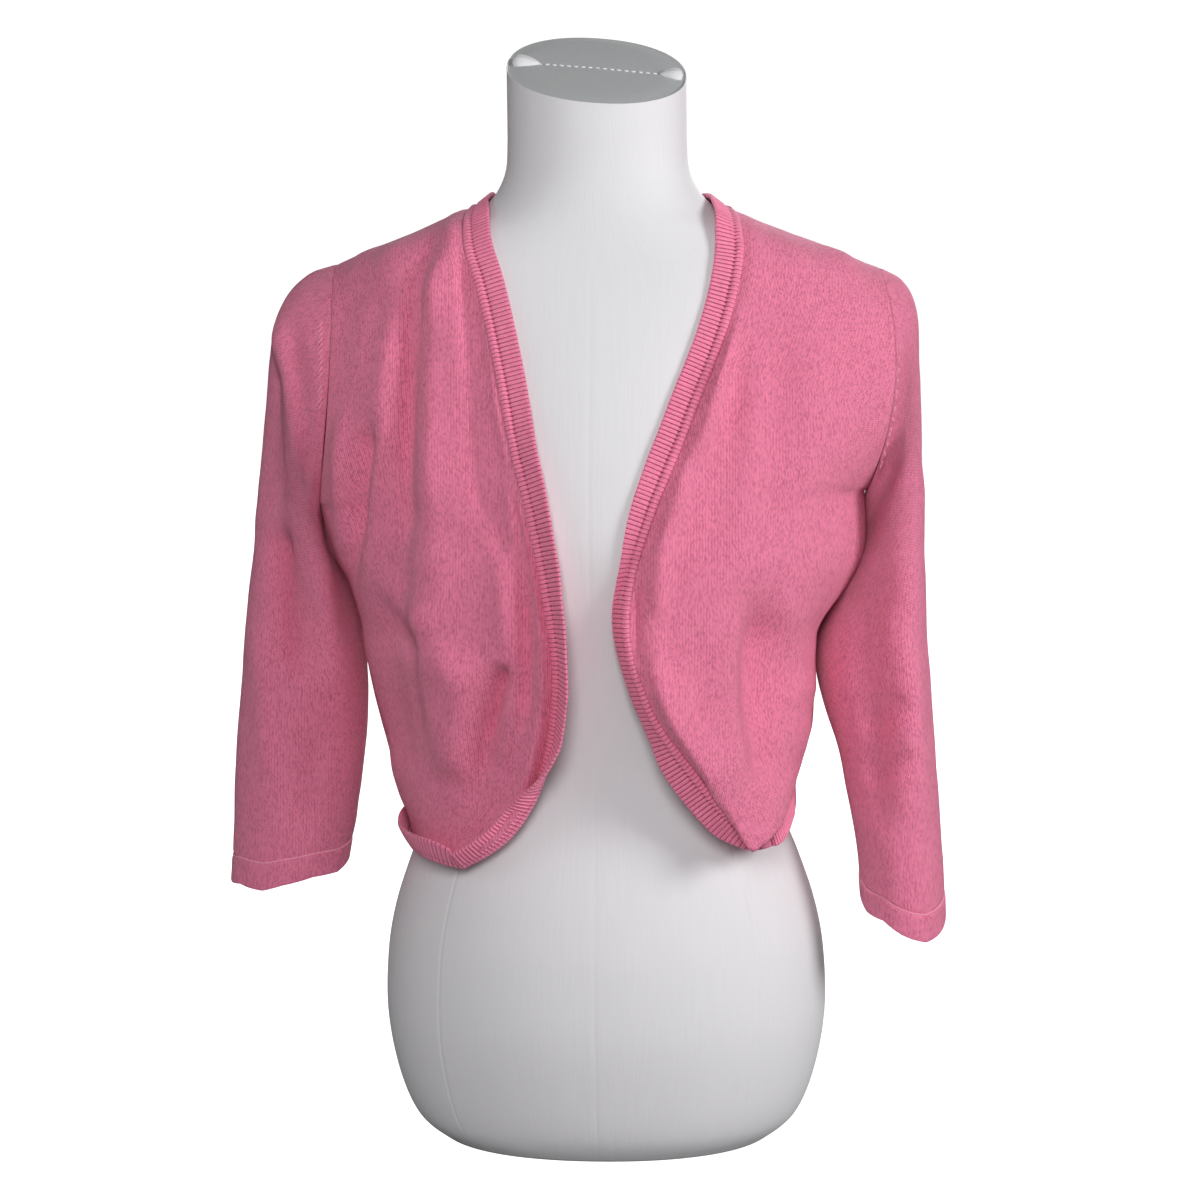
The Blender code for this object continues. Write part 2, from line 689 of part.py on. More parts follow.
# --- sleeves -------------------------------------------------------------------------------
def build_sleeve(side):
    name = "sleeve_" + side
    count = 2 * ARMHOLE_ROWS
    table = SLEEVE[side]
    sign = sign_of(side)
    fractions = np.linspace(0, 1, SLEEVE_ROWS + 1)
    rows = [read_table(table, f) for f in fractions]
    length = np.linalg.norm(table[-1][:2] - table[0][:2])
    cuff_start = 1 - CUFF_DEPTH / length
    rows[-2] = read_table(table, cuff_start)
    grid = np.zeros((len(rows), count, 3))
    for r, (ox, oz, ix, iz, depth, middle, bulge, dip, lean) in enumerate(rows):
        for c in range(count):
            angle = 2 * math.pi * c / count
            co, si = math.cos(angle), math.sin(angle)
            x = (ox + ix) / 2 + (ox - ix) / 2 * co + bulge * si * si
            z = (oz + iz) / 2 + (oz - iz) / 2 * co - dip * si
            grid[r, c] = (sign * x, middle - depth * si + lean * (1 - co) / 2, z)
            if r == 0:
                grid[r, c][0] += sign * GAP / 2
    down = np.gradient(grid, axis=0)
    across = np.roll(grid, -1, axis=1) - np.roll(grid, 1, axis=1)
    normals = unit(np.cross(down, across))
    out = grid - grid.mean(1)[:, None, :]
    normals *= np.sign((normals * out).sum(2))[:, :, None]
    for c in range(count):
        normals[0, c] = armhole_normal(side, 2 * math.pi * c / count, -ARMPIT_LEAN)
    for r in range(1, len(rows)):
        ends = smooth((r - 1) / 2) * smooth((len(rows) - 1 - r) / 3)
        for c in range(count):
            x, y, z = grid[r, c]
            facing = max(0.0, -normals[r, c][1])
            grid[r, c] += normals[r, c] * fold_height(name, x, z) * ends * smooth(facing * 2)
    walls = np.full((len(rows), count), WALL)
    walls[-2:] = CUFF_WALL
    build_wall(name, grid, normals, walls, "knit", tube=True)


# --- walls ---------------------------------------------------------------------------------
def build_wall(name, grid, normals, walls, finish, tube=False):
    """A closed wall whose outer face is the grid."""
    rows, columns = grid.shape[:2]
    inner = grid - normals * walls[:, :, None]
    mesh = bmesh.new()
    out = [[mesh.verts.new(p) for p in line] for line in grid]
    back = [[mesh.verts.new(p) for p in line] for line in inner]
    spans = columns if tube else columns - 1
    for r in range(rows - 1):
        for c in range(spans):
            k = (c + 1) % columns
            mesh.faces.new((out[r][c], out[r][k], out[r + 1][k], out[r + 1][c]))
            mesh.faces.new((back[r][c], back[r + 1][c], back[r + 1][k], back[r][k]))
    for r in (0, rows - 1):
        ring = list(range(columns)) + ([0] if tube else [])
        if name.startswith("front") and r:
            ring.reverse()
        close_rim(mesh, [out[r][c] for c in ring], [back[r][c] for c in ring])
    if not tube:
        for c in (0, columns - 1):
            order = range(rows - 1, -1, -1) if name == "back" else range(rows)
            close_rim(mesh, [out[r][c] for r in order], [back[r][c] for r in order])
    make_object(name, mesh, finish)


def close_rim(mesh, out, back):
    """Triangles between two lines, slanted alike on both pieces of a seam."""
    for i in range(len(out) - 1):
        mesh.faces.new((out[i], out[i + 1], back[i]))
        mesh.faces.new((out[i + 1], back[i + 1], back[i]))


# --- the band ------------------------------------------------------------------------------
class Band:
    """The path of a band, read at any distance along it."""

    def __init__(self, path, normals, inside, turns):
        tangents = unit(np.gradient(path, axis=0))
        tangents[0] = (0, math.copysign(1, tangents[0][1]), 0)
        tangents[-1] = (0, math.copysign(1, tangents[-1][1]), 0)
        self.normals = unit(normals - tangents * (normals * tangents).sum(1)[:, None])
        outward = np.cross(tangents, self.normals)
        self.outward = outward * np.sign((outward * (path - inside)).sum())
        self.turns = np.radians(turns)
        self.path = path
        steps = np.linalg.norm(np.diff(path, axis=0), axis=1)
        self.at = np.concatenate([[0.0], np.cumsum(steps)])
        self.length = self.at[-1]

    def read(self, distance):
        t = np.interp(distance, self.at, np.arange(len(self.at))) / (len(self.at) - 1)
        point, normal, outward = (read_table(v, t) for v in (self.path, self.normals, self.outward))
        normal = unit(normal)
        outward = unit(outward - normal * np.dot(outward, normal))
        return point, normal, outward, np.interp(distance, self.at, self.turns)

    def place(self, distance, reach, height):
        """The point this far along the band, this far out from its seam, at a height over its face."""
        point, normal, outward, turn = self.read(distance)
        turn = turn if abs(turn) > 1e-3 else 1e-3
        length = STRIP_WIDTH + (FOLDED_BEND - STRIP_WIDTH) * smooth(2 * abs(turn) / math.pi - 1)
        curve = turn / length
        bent = min(reach, length) * curve
        point = point + outward * (GAP + math.sin(bent) / curve)
        point = point + normal * (1 - math.cos(bent)) / curve
        direction = outward * math.cos(bent) + normal * math.sin(bent)
        face = normal * math.cos(bent) - outward * math.sin(bent)
        point = point + direction * max(0.0, reach - length)
        moved = clear_of_form(point, BAND_CLEARANCE) if reach > 0 else point
        return moved + face * height


def zip_lines(mesh, first, second):
    """Triangles between two lines of (distance, vertex)."""
    i = k = 0
    while i < len(first) - 1 or k < len(second) - 1:
        step_first = k == len(second) - 1 or (
            i < len(first) - 1 and first[i + 1][0] <= second[k + 1][0] + 1e-6
        )
        if step_first:
            mesh.faces.new((first[i][1], first[i + 1][1], second[k][1]))
            i += 1
        else:
            mesh.faces.new((first[i][1], second[k + 1][1], second[k][1]))
            k += 1


def build_band(name, path, normals, inside, turns):
    band = Band(path, normals, inside, turns)
    coarse = list(band.at)
    ribs = round(band.length / RIB_PITCH)
    fine = list(np.linspace(0, band.length, 2 * ribs + 1))

    def folded(distance):
        return smooth((math.degrees(band.read(distance)[3]) - FOLDED_FROM) / FOLDED_OVER)

    mesh = bmesh.new()

    def line(distances, reach, height_of):
        return [(d, mesh.verts.new(band.place(d, reach, height_of(d)))) for d in distances]

    def rib(distance, share):
        index = round(distance / band.length * 2 * ribs)
        is_crest = index % 2 == 1 and abs(distance - fine[index]) < 1e-6
        return RIB_HEIGHT * share if is_crest else 0.0

    plain_outer = [d for d in coarse if folded(d) > 0.99]
    ends = [fine[0], fine[-1]]
    rib_outer = sorted(set([d for d in fine if folded(d) <= 0.99] + ends + plain_outer))
    plain_inner = [d for d in coarse if folded(d) < 0.01]
    rib_inner = sorted(set([d for d in fine if folded(d) >= 0.01] + ends + plain_inner))
    reaches = [STRIP_WIDTH * i / STRIP_STEPS for i in range(STRIP_STEPS)]
    end = STRIP_WIDTH + RIB_LENGTH

    outer = [line(coarse, reach, lambda d: 0.0) for reach in reaches]
    outer += [line(rib_outer, reach, lambda d: rib(d, 1 - folded(d))) for reach in (STRIP_WIDTH, end)]
    inner = [line(coarse, reach, lambda d: -WALL) for reach in reaches]
    inner += [line(rib_inner, reach, lambda d: -WALL - rib(d, folded(d))) for reach in (STRIP_WIDTH, end)]
    for lines in (outer, inner):
        for first, second in zip(lines, lines[1:]):
            zip_lines(mesh, first, second)
    zip_lines(mesh, outer[0], inner[0])
    zip_lines(mesh, outer[-1], inner[-1])
    for tip in (0, -1):
        for k in range(len(outer) - 1):
            corners = (outer[k], outer[k + 1], inner[k + 1], inner[k])
            mesh.faces.new([corner[tip][1] for corner in corners])
    make_object(name, mesh, "rib")


def clear_scene():
    for old in list(bpy.data.objects):
        bpy.data.objects.remove(old, do_unlink=True)


clear_scene()
build_form()
build_cap()
build_back()
for wearer_side in ("left", "right"):
    build_front(wearer_side)
    build_sleeve(wearer_side)
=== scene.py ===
"""The knitted shrug on its dress form: fine cloth shells, ribs, seams, finishes, light and camera.

Lengths in the tables are millimetres in the model's frame: +X is the wearer's left, -Y the front
and +Z up. They become metres in make_piece.
"""
import math
from functools import partial

import bmesh
import bpy
import numpy as np
from mathutils import Matrix, Vector


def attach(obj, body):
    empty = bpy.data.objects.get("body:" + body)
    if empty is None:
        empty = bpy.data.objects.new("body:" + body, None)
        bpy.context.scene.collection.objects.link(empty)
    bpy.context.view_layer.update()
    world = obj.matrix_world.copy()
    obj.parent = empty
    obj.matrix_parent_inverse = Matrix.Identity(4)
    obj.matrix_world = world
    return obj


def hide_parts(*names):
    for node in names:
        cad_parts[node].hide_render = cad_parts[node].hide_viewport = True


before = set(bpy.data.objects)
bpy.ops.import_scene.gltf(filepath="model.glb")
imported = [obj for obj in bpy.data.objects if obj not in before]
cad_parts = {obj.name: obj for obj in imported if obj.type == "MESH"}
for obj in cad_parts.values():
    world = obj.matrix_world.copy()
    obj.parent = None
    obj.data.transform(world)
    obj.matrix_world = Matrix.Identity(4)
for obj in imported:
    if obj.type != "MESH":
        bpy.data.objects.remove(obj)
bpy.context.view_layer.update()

METRES = 0.001
GAP = 0.3  # between two pieces where they are sewn together
WALL = 1.5
CUFF_WALL = 2.2  # where the cuff is turned in
CUFF_DEPTH = 16.0
FORM_CLEARANCE = 4.4  # of the cloth's main shape from the form
FINE_CLEARANCE = 3.3  # of the same with its creases
BAND_CLEARANCE = 3.1
LONGEST_MOVE = 8.0  # in one step of moving cloth out of the form
MOVES = 4  # such steps
MIDDLE_MOVES = 3  # the same for the middles of a grid's faces

# --- the dress form: height, half width, depth in front of the centre, depth behind it ---
FORM_SECTIONS = np.array([
    (0, 105, 76, 76),
    (4, 114, 85, 85),
    (19, 131, 97, 97),
    (48, 143, 105, 106),
    (88, 150, 111, 112),
    (130, 149, 110, 112),
    (163, 143, 105, 106),
    (196, 132, 97, 96),
    (216, 124, 92, 89),
    (236, 119, 88, 84),
    (263, 117, 86, 80),
    (293, 121, 90, 80),
    (333, 131, 99, 85),
    (373, 142, 110, 91),
    (413, 147, 116, 95),
    (453, 147, 112, 97),
    (493, 149, 103, 98),
    (533, 156, 91, 97),
    (563, 164, 82, 93),
    (580, 168, 76, 88),
    (593, 164, 71, 82),
    (599, 151, 69, 79),
    (607, 131, 67, 76),
    (617, 107, 65, 72),
    (627, 85, 63, 68),
    (638, 72, 61, 65),
    (648, 65, 59, 63),
    (660, 61, 58, 62),
    (678, 60, 58, 62),
], float)
FORM_SQUARENESS = 2.15  # exponent of each section's outline; 2 is an ellipse
NECK_TOP = 723.0  # height of the neck's rim over the form's axis
NECK_TILT = 0.45  # how far the rim falls towards the front, mm per mm
NECK_LEAN = 0.10  # and towards the wearer's left

# --- the cut of the shrug ---
ARMHOLE_ROWS = 11  # rows of a panel beside the armhole
SIDE_ROWS = 14  # rows of a panel beside its side seam
FRONT_COLUMNS = 11
SHOULDER_COLUMNS = 6  # of the back, on each side, and the next line is behind the neck
NECK_COLUMNS = 4
ARMHOLE_FRONT = 52.0  # how far the armhole reaches forward of its middle, and back
ARMHOLE_BACK = 52.0
ARMHOLE_SLIMNESS = 1.25  # its height over its depth
SHOULDER_SLOPE = 0.35  # how far the cloth's face turns outwards at the armhole's top
ARMPIT_LEAN = 0.7  # and at its lowest point: inwards on the sleeve, outwards on the panels
ARMPIT_ON_BACK = 0.47  # share of the back's middle line above the armpits' height
NECK_BLEND_ROWS = 0.5 * ARMHOLE_ROWS  # of the back, which take up the shape of its neck edge
NECK_BLEND_POWER = 1.6
EASED_ROWS = slice(1, 5)  # of a panel, smoothed where it turns over the shoulder
EASING = 0.6
CENTRE_SHARES = (0.3, 0, 1)  # of a row's mean point, for the place that its cloth faces away from

# Each front's inner edge, from the shoulder seam down to the rounded corner's lowest point.
# x is positive on both sides. turn is how far the band is turned out of the panel's surface,
# in degrees: below 0 towards the form, above 90 folded up over the outside.
EDGE_OF_RIGHT = np.array([
    # x, y, z, turn
    (87, 0, 633, 16),
    (87, -22, 629, 15),
    (85, -42, 618, 11),
    (82, -56, 600, 6),
    (73, -70, 574, 1),
    (64, -82, 538, -3),
    (56, -93, 502, 0),
    (49, -103, 468, 12),
    (41, -111, 438, 28),
    (35, -117, 406, 42),
    (30, -120, 376, 52),
    (26.5, -119.5, 354, 56),
    (25, -118, 337, 58),
    (25, -116, 320, 60),
    (26.7, -112, 304, 64),
    (29, -108, 289, 70),
    (32, -105, 276, 82),
    (34.5, -103, 266, 98),
    (37, -101, 256.5, 118),
    (40.5, -100, 248, 138),
    (45.5, -98, 238, 145),
    (54, -96, 226, 148),
    (64, -94, 217, 149),
    (74, -92, 210, 149),
    (87, -88, 203, 149),
], float)
EDGE_OF_LEFT = np.array([
    (91, 0, 629, 16),
    (94, -22, 626, 15),
    (97, -42, 619, 11),
    (99, -56, 604, 6),
    (97, -66, 585, 0),
    (92, -75, 562, -4),
    (83, -84, 534, -8),
    (71, -93, 505, -14),
    (59, -102, 474, -22),
    (47, -110, 446, -34),
    (38, -116, 420, -46),
    (30, -121, 394, -56),
    (26, -124, 368, -62),
    (28, -125, 343, -64),
    (36, -124, 319, -66),
    (43, -122, 302, -64),
    (51, -120, 289, -48),
    (59, -117, 278, -26),
    (68, -114, 266, -12),
    (77, -111, 254, -8),
    (86, -108, 243, -8),
    (95, -103, 234, -10),
    (106, -97, 229, -12),
], float)
# Turn of the hem's band from the corner (first) round to the side seam (last).
HEM_TURN = {"right": (149, 149, 151, 157, 166, 176), "left": (-12, 0, 12, 20, 24, 24)}
NECK_TURN = (16, 4, -4, 4, 16)  # of the band behind the neck, shoulder to shoulder
BACK_HEM_TURN = (178, 172, 110, 40, 12, 5, 4, 5, 6, 8, 12, 18, 24)  # side seam to side seam
# The left front's slack hangs over its corner.
LOBE_WIDTH = 36.0
LOBE_OUT = 9.0  # of the surface
LOBE_DOWN = 25.0

# Armhole: its highest and lowest point and how far its middle stands out sideways.
ARMHOLE = {
    "right": {"top": (177, 597), "bottom": (190, 432), "bulge": -7.0},
    "left": {"top": (188, 590), "bottom": (178, 440), "bulge": 14.0},
}
# Side seam below the armhole: x, z
SIDE_SEAM = {
    "right": np.array([
        (190, 432), (184, 408), (174, 386), (165, 360), (162, 333),
        (158, 310), (153, 288), (145.5, 260), (140, 242), (134, 228), (130.6, 212),
    ], float),
    "left": np.array([
        (178, 440), (179, 420), (178, 402), (171, 387), (160, 371),
        (149, 356), (143, 338), (143, 312), (142, 287), (137, 266), (131, 250),
    ], float),
}
# The back: its neck edge from a shoulder's neck end (given by the front's edge) to the middle.
BACK_NECK = np.array([(85, 20, 632), (79, 38, 629), (63, 56, 627), (36, 70, 626), (0, 75, 625)], float)
# The back's middle line from the neck down: y, z
BACK_MIDDLE = np.array([
    (75, 625), (80, 612), (90, 587), (98, 553), (104, 513), (106, 473), (104, 434),
    (101, 393), (98, 348), (96, 303), (96, 263), (98, 234), (100, 210),
], float)

# Sleeves: rings from the armhole to the cuff. The outer point is the one away from the body.
SLEEVE = {
    # outer x, outer z, inner x, inner z, depth to the front and back, middle y, bulge, how far the
    # front hangs lower than the middle, and how far the inner point lies behind the middle
    "right": np.array([
        (177, 597, 190, 432, 52, 0, -7, 0, 0),
        (199, 589, 189.5, 418, 53, 0, -5, 0, 2),
        (214, 573, 185.5, 403, 53, 0, 0, 0, 6),
        (223, 540, 177.5, 386, 51, 0, 5, 0, 10),
        (228, 496, 170.5, 369, 49, -1, 6, 0, 12),
        (233, 450, 166.5, 352, 47, -2, 3, 0, 13),
        (238, 404, 164.5, 334, 45, -3, 0, 0, 14),
        (243, 356, 163, 310, 42, -5, 0, 0, 10),
        (248, 306, 163, 281, 39, -7, 0, 1, 5),
        (252, 260, 165, 251, 36, -9, 0, 2, 0),
        (254, 222, 169, 225, 34, -11, 0, 4, 0),
        (255, 193, 173, 209, 32, -12, 0, 6, 0),
        (256, 178, 175, 198, 31, -13, 0, 8, 0),
    ], float),
    "left": np.array([
        (188, 590, 178, 440, 52, 0, 14, 0, 0),
        (203, 582, 178.6, 424, 53, 0, 10, 0, 10),
        (212, 564, 176.6, 408, 53, 0, 8, 0, 17),
        (214.5, 530, 171.6, 393, 52, 0, 8, 0, 21),
        (216, 493, 162.6, 378, 51, -1, 8, 0, 22),
        (217, 453, 151, 360, 50, -2, 6, 0, 24),
        (218, 408, 144.5, 340, 48, -4, 2, 0, 23),
        (219, 360, 145.5, 318, 47, -6, 0, 1, 18),
        (222, 310, 152, 290, 45, -8, 0, 2, 10),
        (225, 268, 161, 262, 43, -11, 0, 4, 4),
        (228, 228, 167, 232, 41, -14, 0, 7, 0),
        (230, 191, 172, 200, 40, -17, 0, 10, 0),
        (231, 156, 174, 169, 39, -20, 0, 13, 0),
    ], float),
}

# Folds, seen from the front (or, for the back, from behind with x as it is): a bent line through
# three points, its half width and its height over the cloth. Below 0 is a trough.
FOLD_COLUMNS = ("x0", "z0", "x1", "z1", "x2", "z2", "half_width", "height")
FOLDS = {
    "front_right": (
        (-103, 588, -117, 480, -118, 403, 14, -6.0),
        (-89, 578, -90, 506, -91, 428, 11, 3.0),
        (-76, 588, -70, 488, -64, 408, 9, -4.5),
        (-146, 493, -160, 453, -163, 403, 11, -5.0),
        (-53, 480, -44, 415, -40, 323, 8, -5.0),
        (-55, 340, -67, 306, -78, 250, 8, -8.0),
        (-150, 388, -131, 354, -112, 333, 9, -4.0),
        (-116, 366, -113, 329, -119, 273, 13, -5.0),
        (-96, 360, -92, 310, -98, 250, 13, 6.0),
    ),
    "front_left": (
        (94, 588, 66, 486, 30, 360, 13, 4.5),
        (44, 340, 60, 293, 92, 242, 15, 8.0),
        (106, 400, 110, 340, 112, 280, 15, -4.5),
        (136, 350, 137, 325, 136, 298, 12, 2.0),
        (146, 430, 132, 400, 122, 368, 14, -1.5),
    ),
    "back": (
        (-112, 548, -100, 468, -96, 388, 15, -5.0),
        (108, 553, 98, 473, 90, 398, 15, -5.0),
        (-60, 408, -66, 328, -72, 250, 13, 5.0),
        (-20, 428, -16, 338, -20, 250, 13, -4.0),
        (52, 418, 60, 333, 66, 253, 13, 5.0),
        (-150, 388, -120, 338, -104, 288, 12, -5.0),
        (144, 393, 118, 343, 104, 288, 12, -5.0),
    ),
    "sleeve_right": (
        (-207, 568, -202, 488, -196, 411, 9, -6.0),
        (-196, 413, -184, 360, -170, 278, 11, 4.0),
        (-218, 428, -204, 383, -182, 320, 11, -6.0),
    ),
    "sleeve_left": (
        (205, 548, 196, 488, 190, 428, 11, -4.0),
        (174, 280, 192, 296, 204, 306, 9, -5.0),
        (172, 250, 190, 260, 212, 268, 10, -4.0),
    ),
}

# Finer creases than the solid's folds, in the same columns.
CREASES = {
    "front_right": (
        (-103, 620, -118, 551, -124, 403, 6, -7.0),
        (-120, 454, -123, 403, -125, 349, 8, -4.0),
        (-85, 620, -75, 544, -63, 461, 5, -9.0),
        (-67, 493, -59, 442, -55, 398, 6, -6.0),
        (-99, 613, -106, 532, -107, 403, 11, 8.5),
        (-125, 591, -137, 519, -144, 428, 10, 4.0),
        (-104, 429, -101, 378, -96, 312, 15, 5.0),
        (-146, 578, -152, 545, -155, 513, 7, 1.5),
        (-70, 590, -60, 531, -49, 474, 6, 8.0),
        (-51, 487, -43, 430, -39, 372, 5, -9.0),
        (-40, 398, -38, 346, -43, 290, 6, -9.0),
        (-64, 455, -55, 391, -52, 327, 8, 3.0),
        (-143, 506, -157, 441, -167, 372, 6, -9.0),
        (-163, 506, -169, 460, -170, 400, 6, 5.0),
        (-133, 487, -136, 429, -136, 376, 12, -5.0),
        (-138, 376, -140, 314, -131, 253, 14, -8.0),
        (-112, 390, -110, 338, -103, 272, 10, 7.0),
        (-54, 340, -61, 313, -71, 276, 3.5, -7.0),
        (-68, 286, -72, 262, -81, 236, 8, -2.5),
        (-45, 320, -52, 294, -61, 266, 6, 3.0),
        (-78, 346, -82, 299, -91, 252, 14, 5.0),
    ),
    "front_left": (
        (79, 569, 73, 524, 61, 486, 3.5, -5.0),
        (58, 486, 44, 442, 35, 398, 3.5, -6.0),
        (35, 404, 30, 360, 32, 315, 3.5, -6.0),
        (89, 568, 81, 511, 67, 460, 6, 5.5),
        (65, 460, 48, 410, 43, 353, 6, 5.5),
        (43, 366, 45, 322, 60, 283, 6, 4.5),
        (128, 568, 119, 485, 110, 402, 9, -2.0),
        (96, 555, 89, 473, 74, 384, 8, -1.5),
        (109, 555, 104, 479, 92, 403, 8, 1.5),
        (148, 555, 142, 484, 134, 414, 10, 2.0),
        (112, 383, 107, 310, 116, 246, 14, -11.0),
        (95, 377, 92, 313, 99, 249, 10, 5.0),
        (134, 375, 134, 314, 131, 262, 10, 3.0),
        (71, 365, 68, 315, 74, 276, 6, -1.5),
    ),
    "sleeve_right": (
        (-215, 573, -205, 506, -199, 439, 7, 7.0),
        (-199, 446, -191, 392, -179, 311, 7, 9.0),
        (-227, 546, -220, 480, -214, 413, 14, -9.0),
        (-215, 433, -208, 372, -197, 312, 11, -11.0),
        (-196, 553, -192, 493, -187, 453, 6, -2.5),
        (-236, 372, -227, 305, -223, 238, 9, 3.0),
        (-189, 291, -194, 251, -200, 210, 9, -3.0),
    ),
    "sleeve_left": (
        (179, 397, 176, 318, 189, 206, 12, -6.5),
        (195, 345, 189, 292, 190, 246, 11, -2.5),
        (210, 502, 203, 371, 209, 213, 11, 7.5),
        (187, 397, 200, 358, 217, 330, 8, -2.0),
        (175, 264, 186, 233, 207, 206, 10, -1.5),
    ),
    "back": (
        (-120, 560, -112, 500, -108, 430, 9, -4.0),
        (118, 555, 112, 490, 104, 430, 9, -4.5),
        (-70, 470, -62, 400, -60, 330, 12, 3.5),
        (60, 480, 66, 410, 62, 340, 12, 3.0),
        (-30, 380, -20, 330, -14, 290, 10, -3.0),
        (90, 400, 100, 350, 108, 300, 8, -3.5),
        (-105, 400, -112, 350, -118, 300, 8, -3.5),
        (0, 590, 0, 560, 4, 510, 14, 2.5),
    ),
    "sleeve_right_back": (
        (-214, 560, -206, 500, -198, 440, 9, -4.0),
        (-236, 420, -214, 372, -188, 330, 10, -5.0),
        (-190, 400, -186, 350, -184, 290, 9, 3.0),
        (-244, 330, -222, 306, -192, 300, 8, -3.0),
    ),
    "sleeve_left_back": (
        (206, 545, 199, 490, 192, 440, 9, -4.0),
        (214, 400, 194, 360, 170, 330, 10, -5.0),
        (176, 300, 194, 280, 214, 270, 8, -3.0),
    ),
}
FOLD_FADE = 26.0  # folds die out this far from a hem
EDGE_FADE = 14.0  # from a panel's outer seams
BAND_FADE = 7.0  # and from the band
UNEVEN = 0.7  # height of the cloth's own soft hills
UNEVEN_SPAN = 31.0  # and how far apart they are
FINE_UNEVEN = 0.18
FINE_SPAN = 9.0
FINE_STRETCH = 0.7  # the finest are this much closer across than up and down

# Rolls of cloth beside the seams.
SEAM_ROLL = 0.4
SEAM_WIDTH = 4.0
SEAM_RISE = 2.7  # how steeply the roll rises at the seam, in heights per width
SEAM_FALL = 1.6  # and how fast it dies out
SEAM_DIP = 0.5  # of its height, at the seam itself
SEAM_DIP_WIDTH = 0.3  # of its width
LOW_SEAM_SHARE = 0.35  # of the roll that is left beside the side seam
SLEEVE_ROLL = 0.5
BAND_SWELL = 1.0
BAND_ROLL = 6.5  # from the band to the crest of the roll beside it
LOW_ROLL = {"right": 8.5, "left": 1.2}  # how many times more it is swollen below the chest
LOW_ROLL_FROM = 490.0
LOW_ROLL_BLEND = 60.0
FRONT_PLUMB = 80.0  # x of the wale that hangs straight down a front

# The turned cuff.
CUFF_ROWS = 40  # fine rows over twice its depth
CUFF_SWELL = 0.5
CUFF_RISE = 3.0  # over which it swells below its line of stitches
CUFF_LIP = 2.0  # over which it thins again towards its edge
CUFF_LIP_SHARE = 0.3  # of that way left out at the edge itself
CUFF_TURN = 2.0  # over which the cloth gets thicker
CUFF_GROOVE = 0.8  # at its line of stitches
CUFF_GROOVE_WIDTH = 1.1
CUFF_FADE = 2.5 * CUFF_DEPTH  # creases die out this far from the cuff's edge
CUFF_CREASE = 0.05  # of that way left out, so that a little of them stays
CUFF_WAVE_REACH = 3 * CUFF_DEPTH
# The cuff's edge: angle from the sleeve's top, 90 degrees being the front, and its rise.
CUFF_WAVE = {
    "right": (
        (0, 0), (40, 3), (70, -2), (90, -1), (120, -2), (150, -7), (180, -6), (230, -3), (300, 2), (360, 0),
    ),
    "left": ((0, 0), (30, -2), (60, -4), (95, 0), (120, 4), (150, 0), (230, 3), (300, -2), (360, 0)),
}

# Stitches that stand on the cloth. A size is length, width and height.
STITCH_RINGS = ((-1.0, 0.25), (-0.72, 0.78), (0.0, 1.0), (0.72, 0.78), (1.0, 0.25))  # place, girth
STITCH_SIDES = 6
CUFF_STITCH_PITCH = 2.2
CUFF_STITCH = (1.12 * CUFF_STITCH_PITCH, 1.0, 0.5)
CUFF_STITCH_OUT = 0.25  # of the cloth's face
CUFF_STITCH_SLANT = 0.08
# Fully fashioned marks: first and last angle on the armhole, and how many.
MARK_ANGLES = {"right": (56, 95, 14), "left": (72, 135, 14)}
MARK_DISTANCE = 6.0  # from the armhole
MARK = (4.4, 1.4, 1.0)
MARK_OUT = 0.3
MARK_SLANT = 0.9
TWIN_MARK = (3.52, 1.0, 0.5)  # the flatter stitch beside each
TWIN_AWAY = 1.7
TWIN_ALONG = 0.6
CAP_STITCH = (3.0, 1.2, 0.7)
CAP_STITCH_OUT = 0.4
CAP_STITCHES = 17
CAP_SEAM = (-38, 39, 2.0)  # first and last stitch's x, and y

# --- the ribbed band ---
STRIP_WIDTH = 6.0  # where the band is linked to the cloth
STRIP_ROWS = 9
STRIP_SWELL = 0.9
STRIP_ROUNDNESS = 0.8
STRIP_STITCH = 0.45
STRIP_SLANT = 0.9  # ribs that its stitches lean over
STRIP_UNDER = 0.3  # of its swell that shows on its inner face
LINK_PIT = 1.2
LINK_PIT_WIDTH = 0.9
LINK_PIT_FILL = 0.7  # of a pit that a rib fills
RIB_LENGTH = 13.0
RIB_ROWS = np.array([0.03, 0.07, 0.13, 0.25, 0.4, 0.55, 0.7, 0.84, 0.93, 0.98, 1])  # shares of it
RIB_PITCH = 2.9
RIB_HEIGHT = 0.7
RIB_SAMPLES = 6
RIB_ROUNDNESS = 0.75
RIB_START = 1.2  # over which the ribs rise beside the strip
WORN = 0.25  # how much the ribs differ in height
WORN_SPAN = 14.0
EDGE_WIDTH = 1.0  # of the band's rounded free edge
EDGE_ROUND = 0.35  # how far it is rounded off
EDGE_RIB = 0.35  # of the ribs' height that is left on it
FOLDED_BEND = 3.0  # the length over which a band is bent where it is folded right up
BAND_WAVE = 0.9  # how far the band waves in and out
BAND_WAVE_SPAN = 27.0
BAND_WAVE_FROM = 2.0  # from the seam
BAND_WAVE_RISE = 12.0
BAND_WAVE_ENDS = 20.0  # over which it dies out at the band's two ends

# --- fine surfaces ---
PANEL_STEP = 8  # fine rows and columns for each of the solid's
SLEEVE_FINE_ROWS = 190
SLEEVE_FINE_COLUMNS = 132
FOLD_STEPS = 8  # straight pieces of a fold's line
FOLD_ENDS = 0.25  # of its length, over which a fold rises at each end
NOISE_TABLE = 97


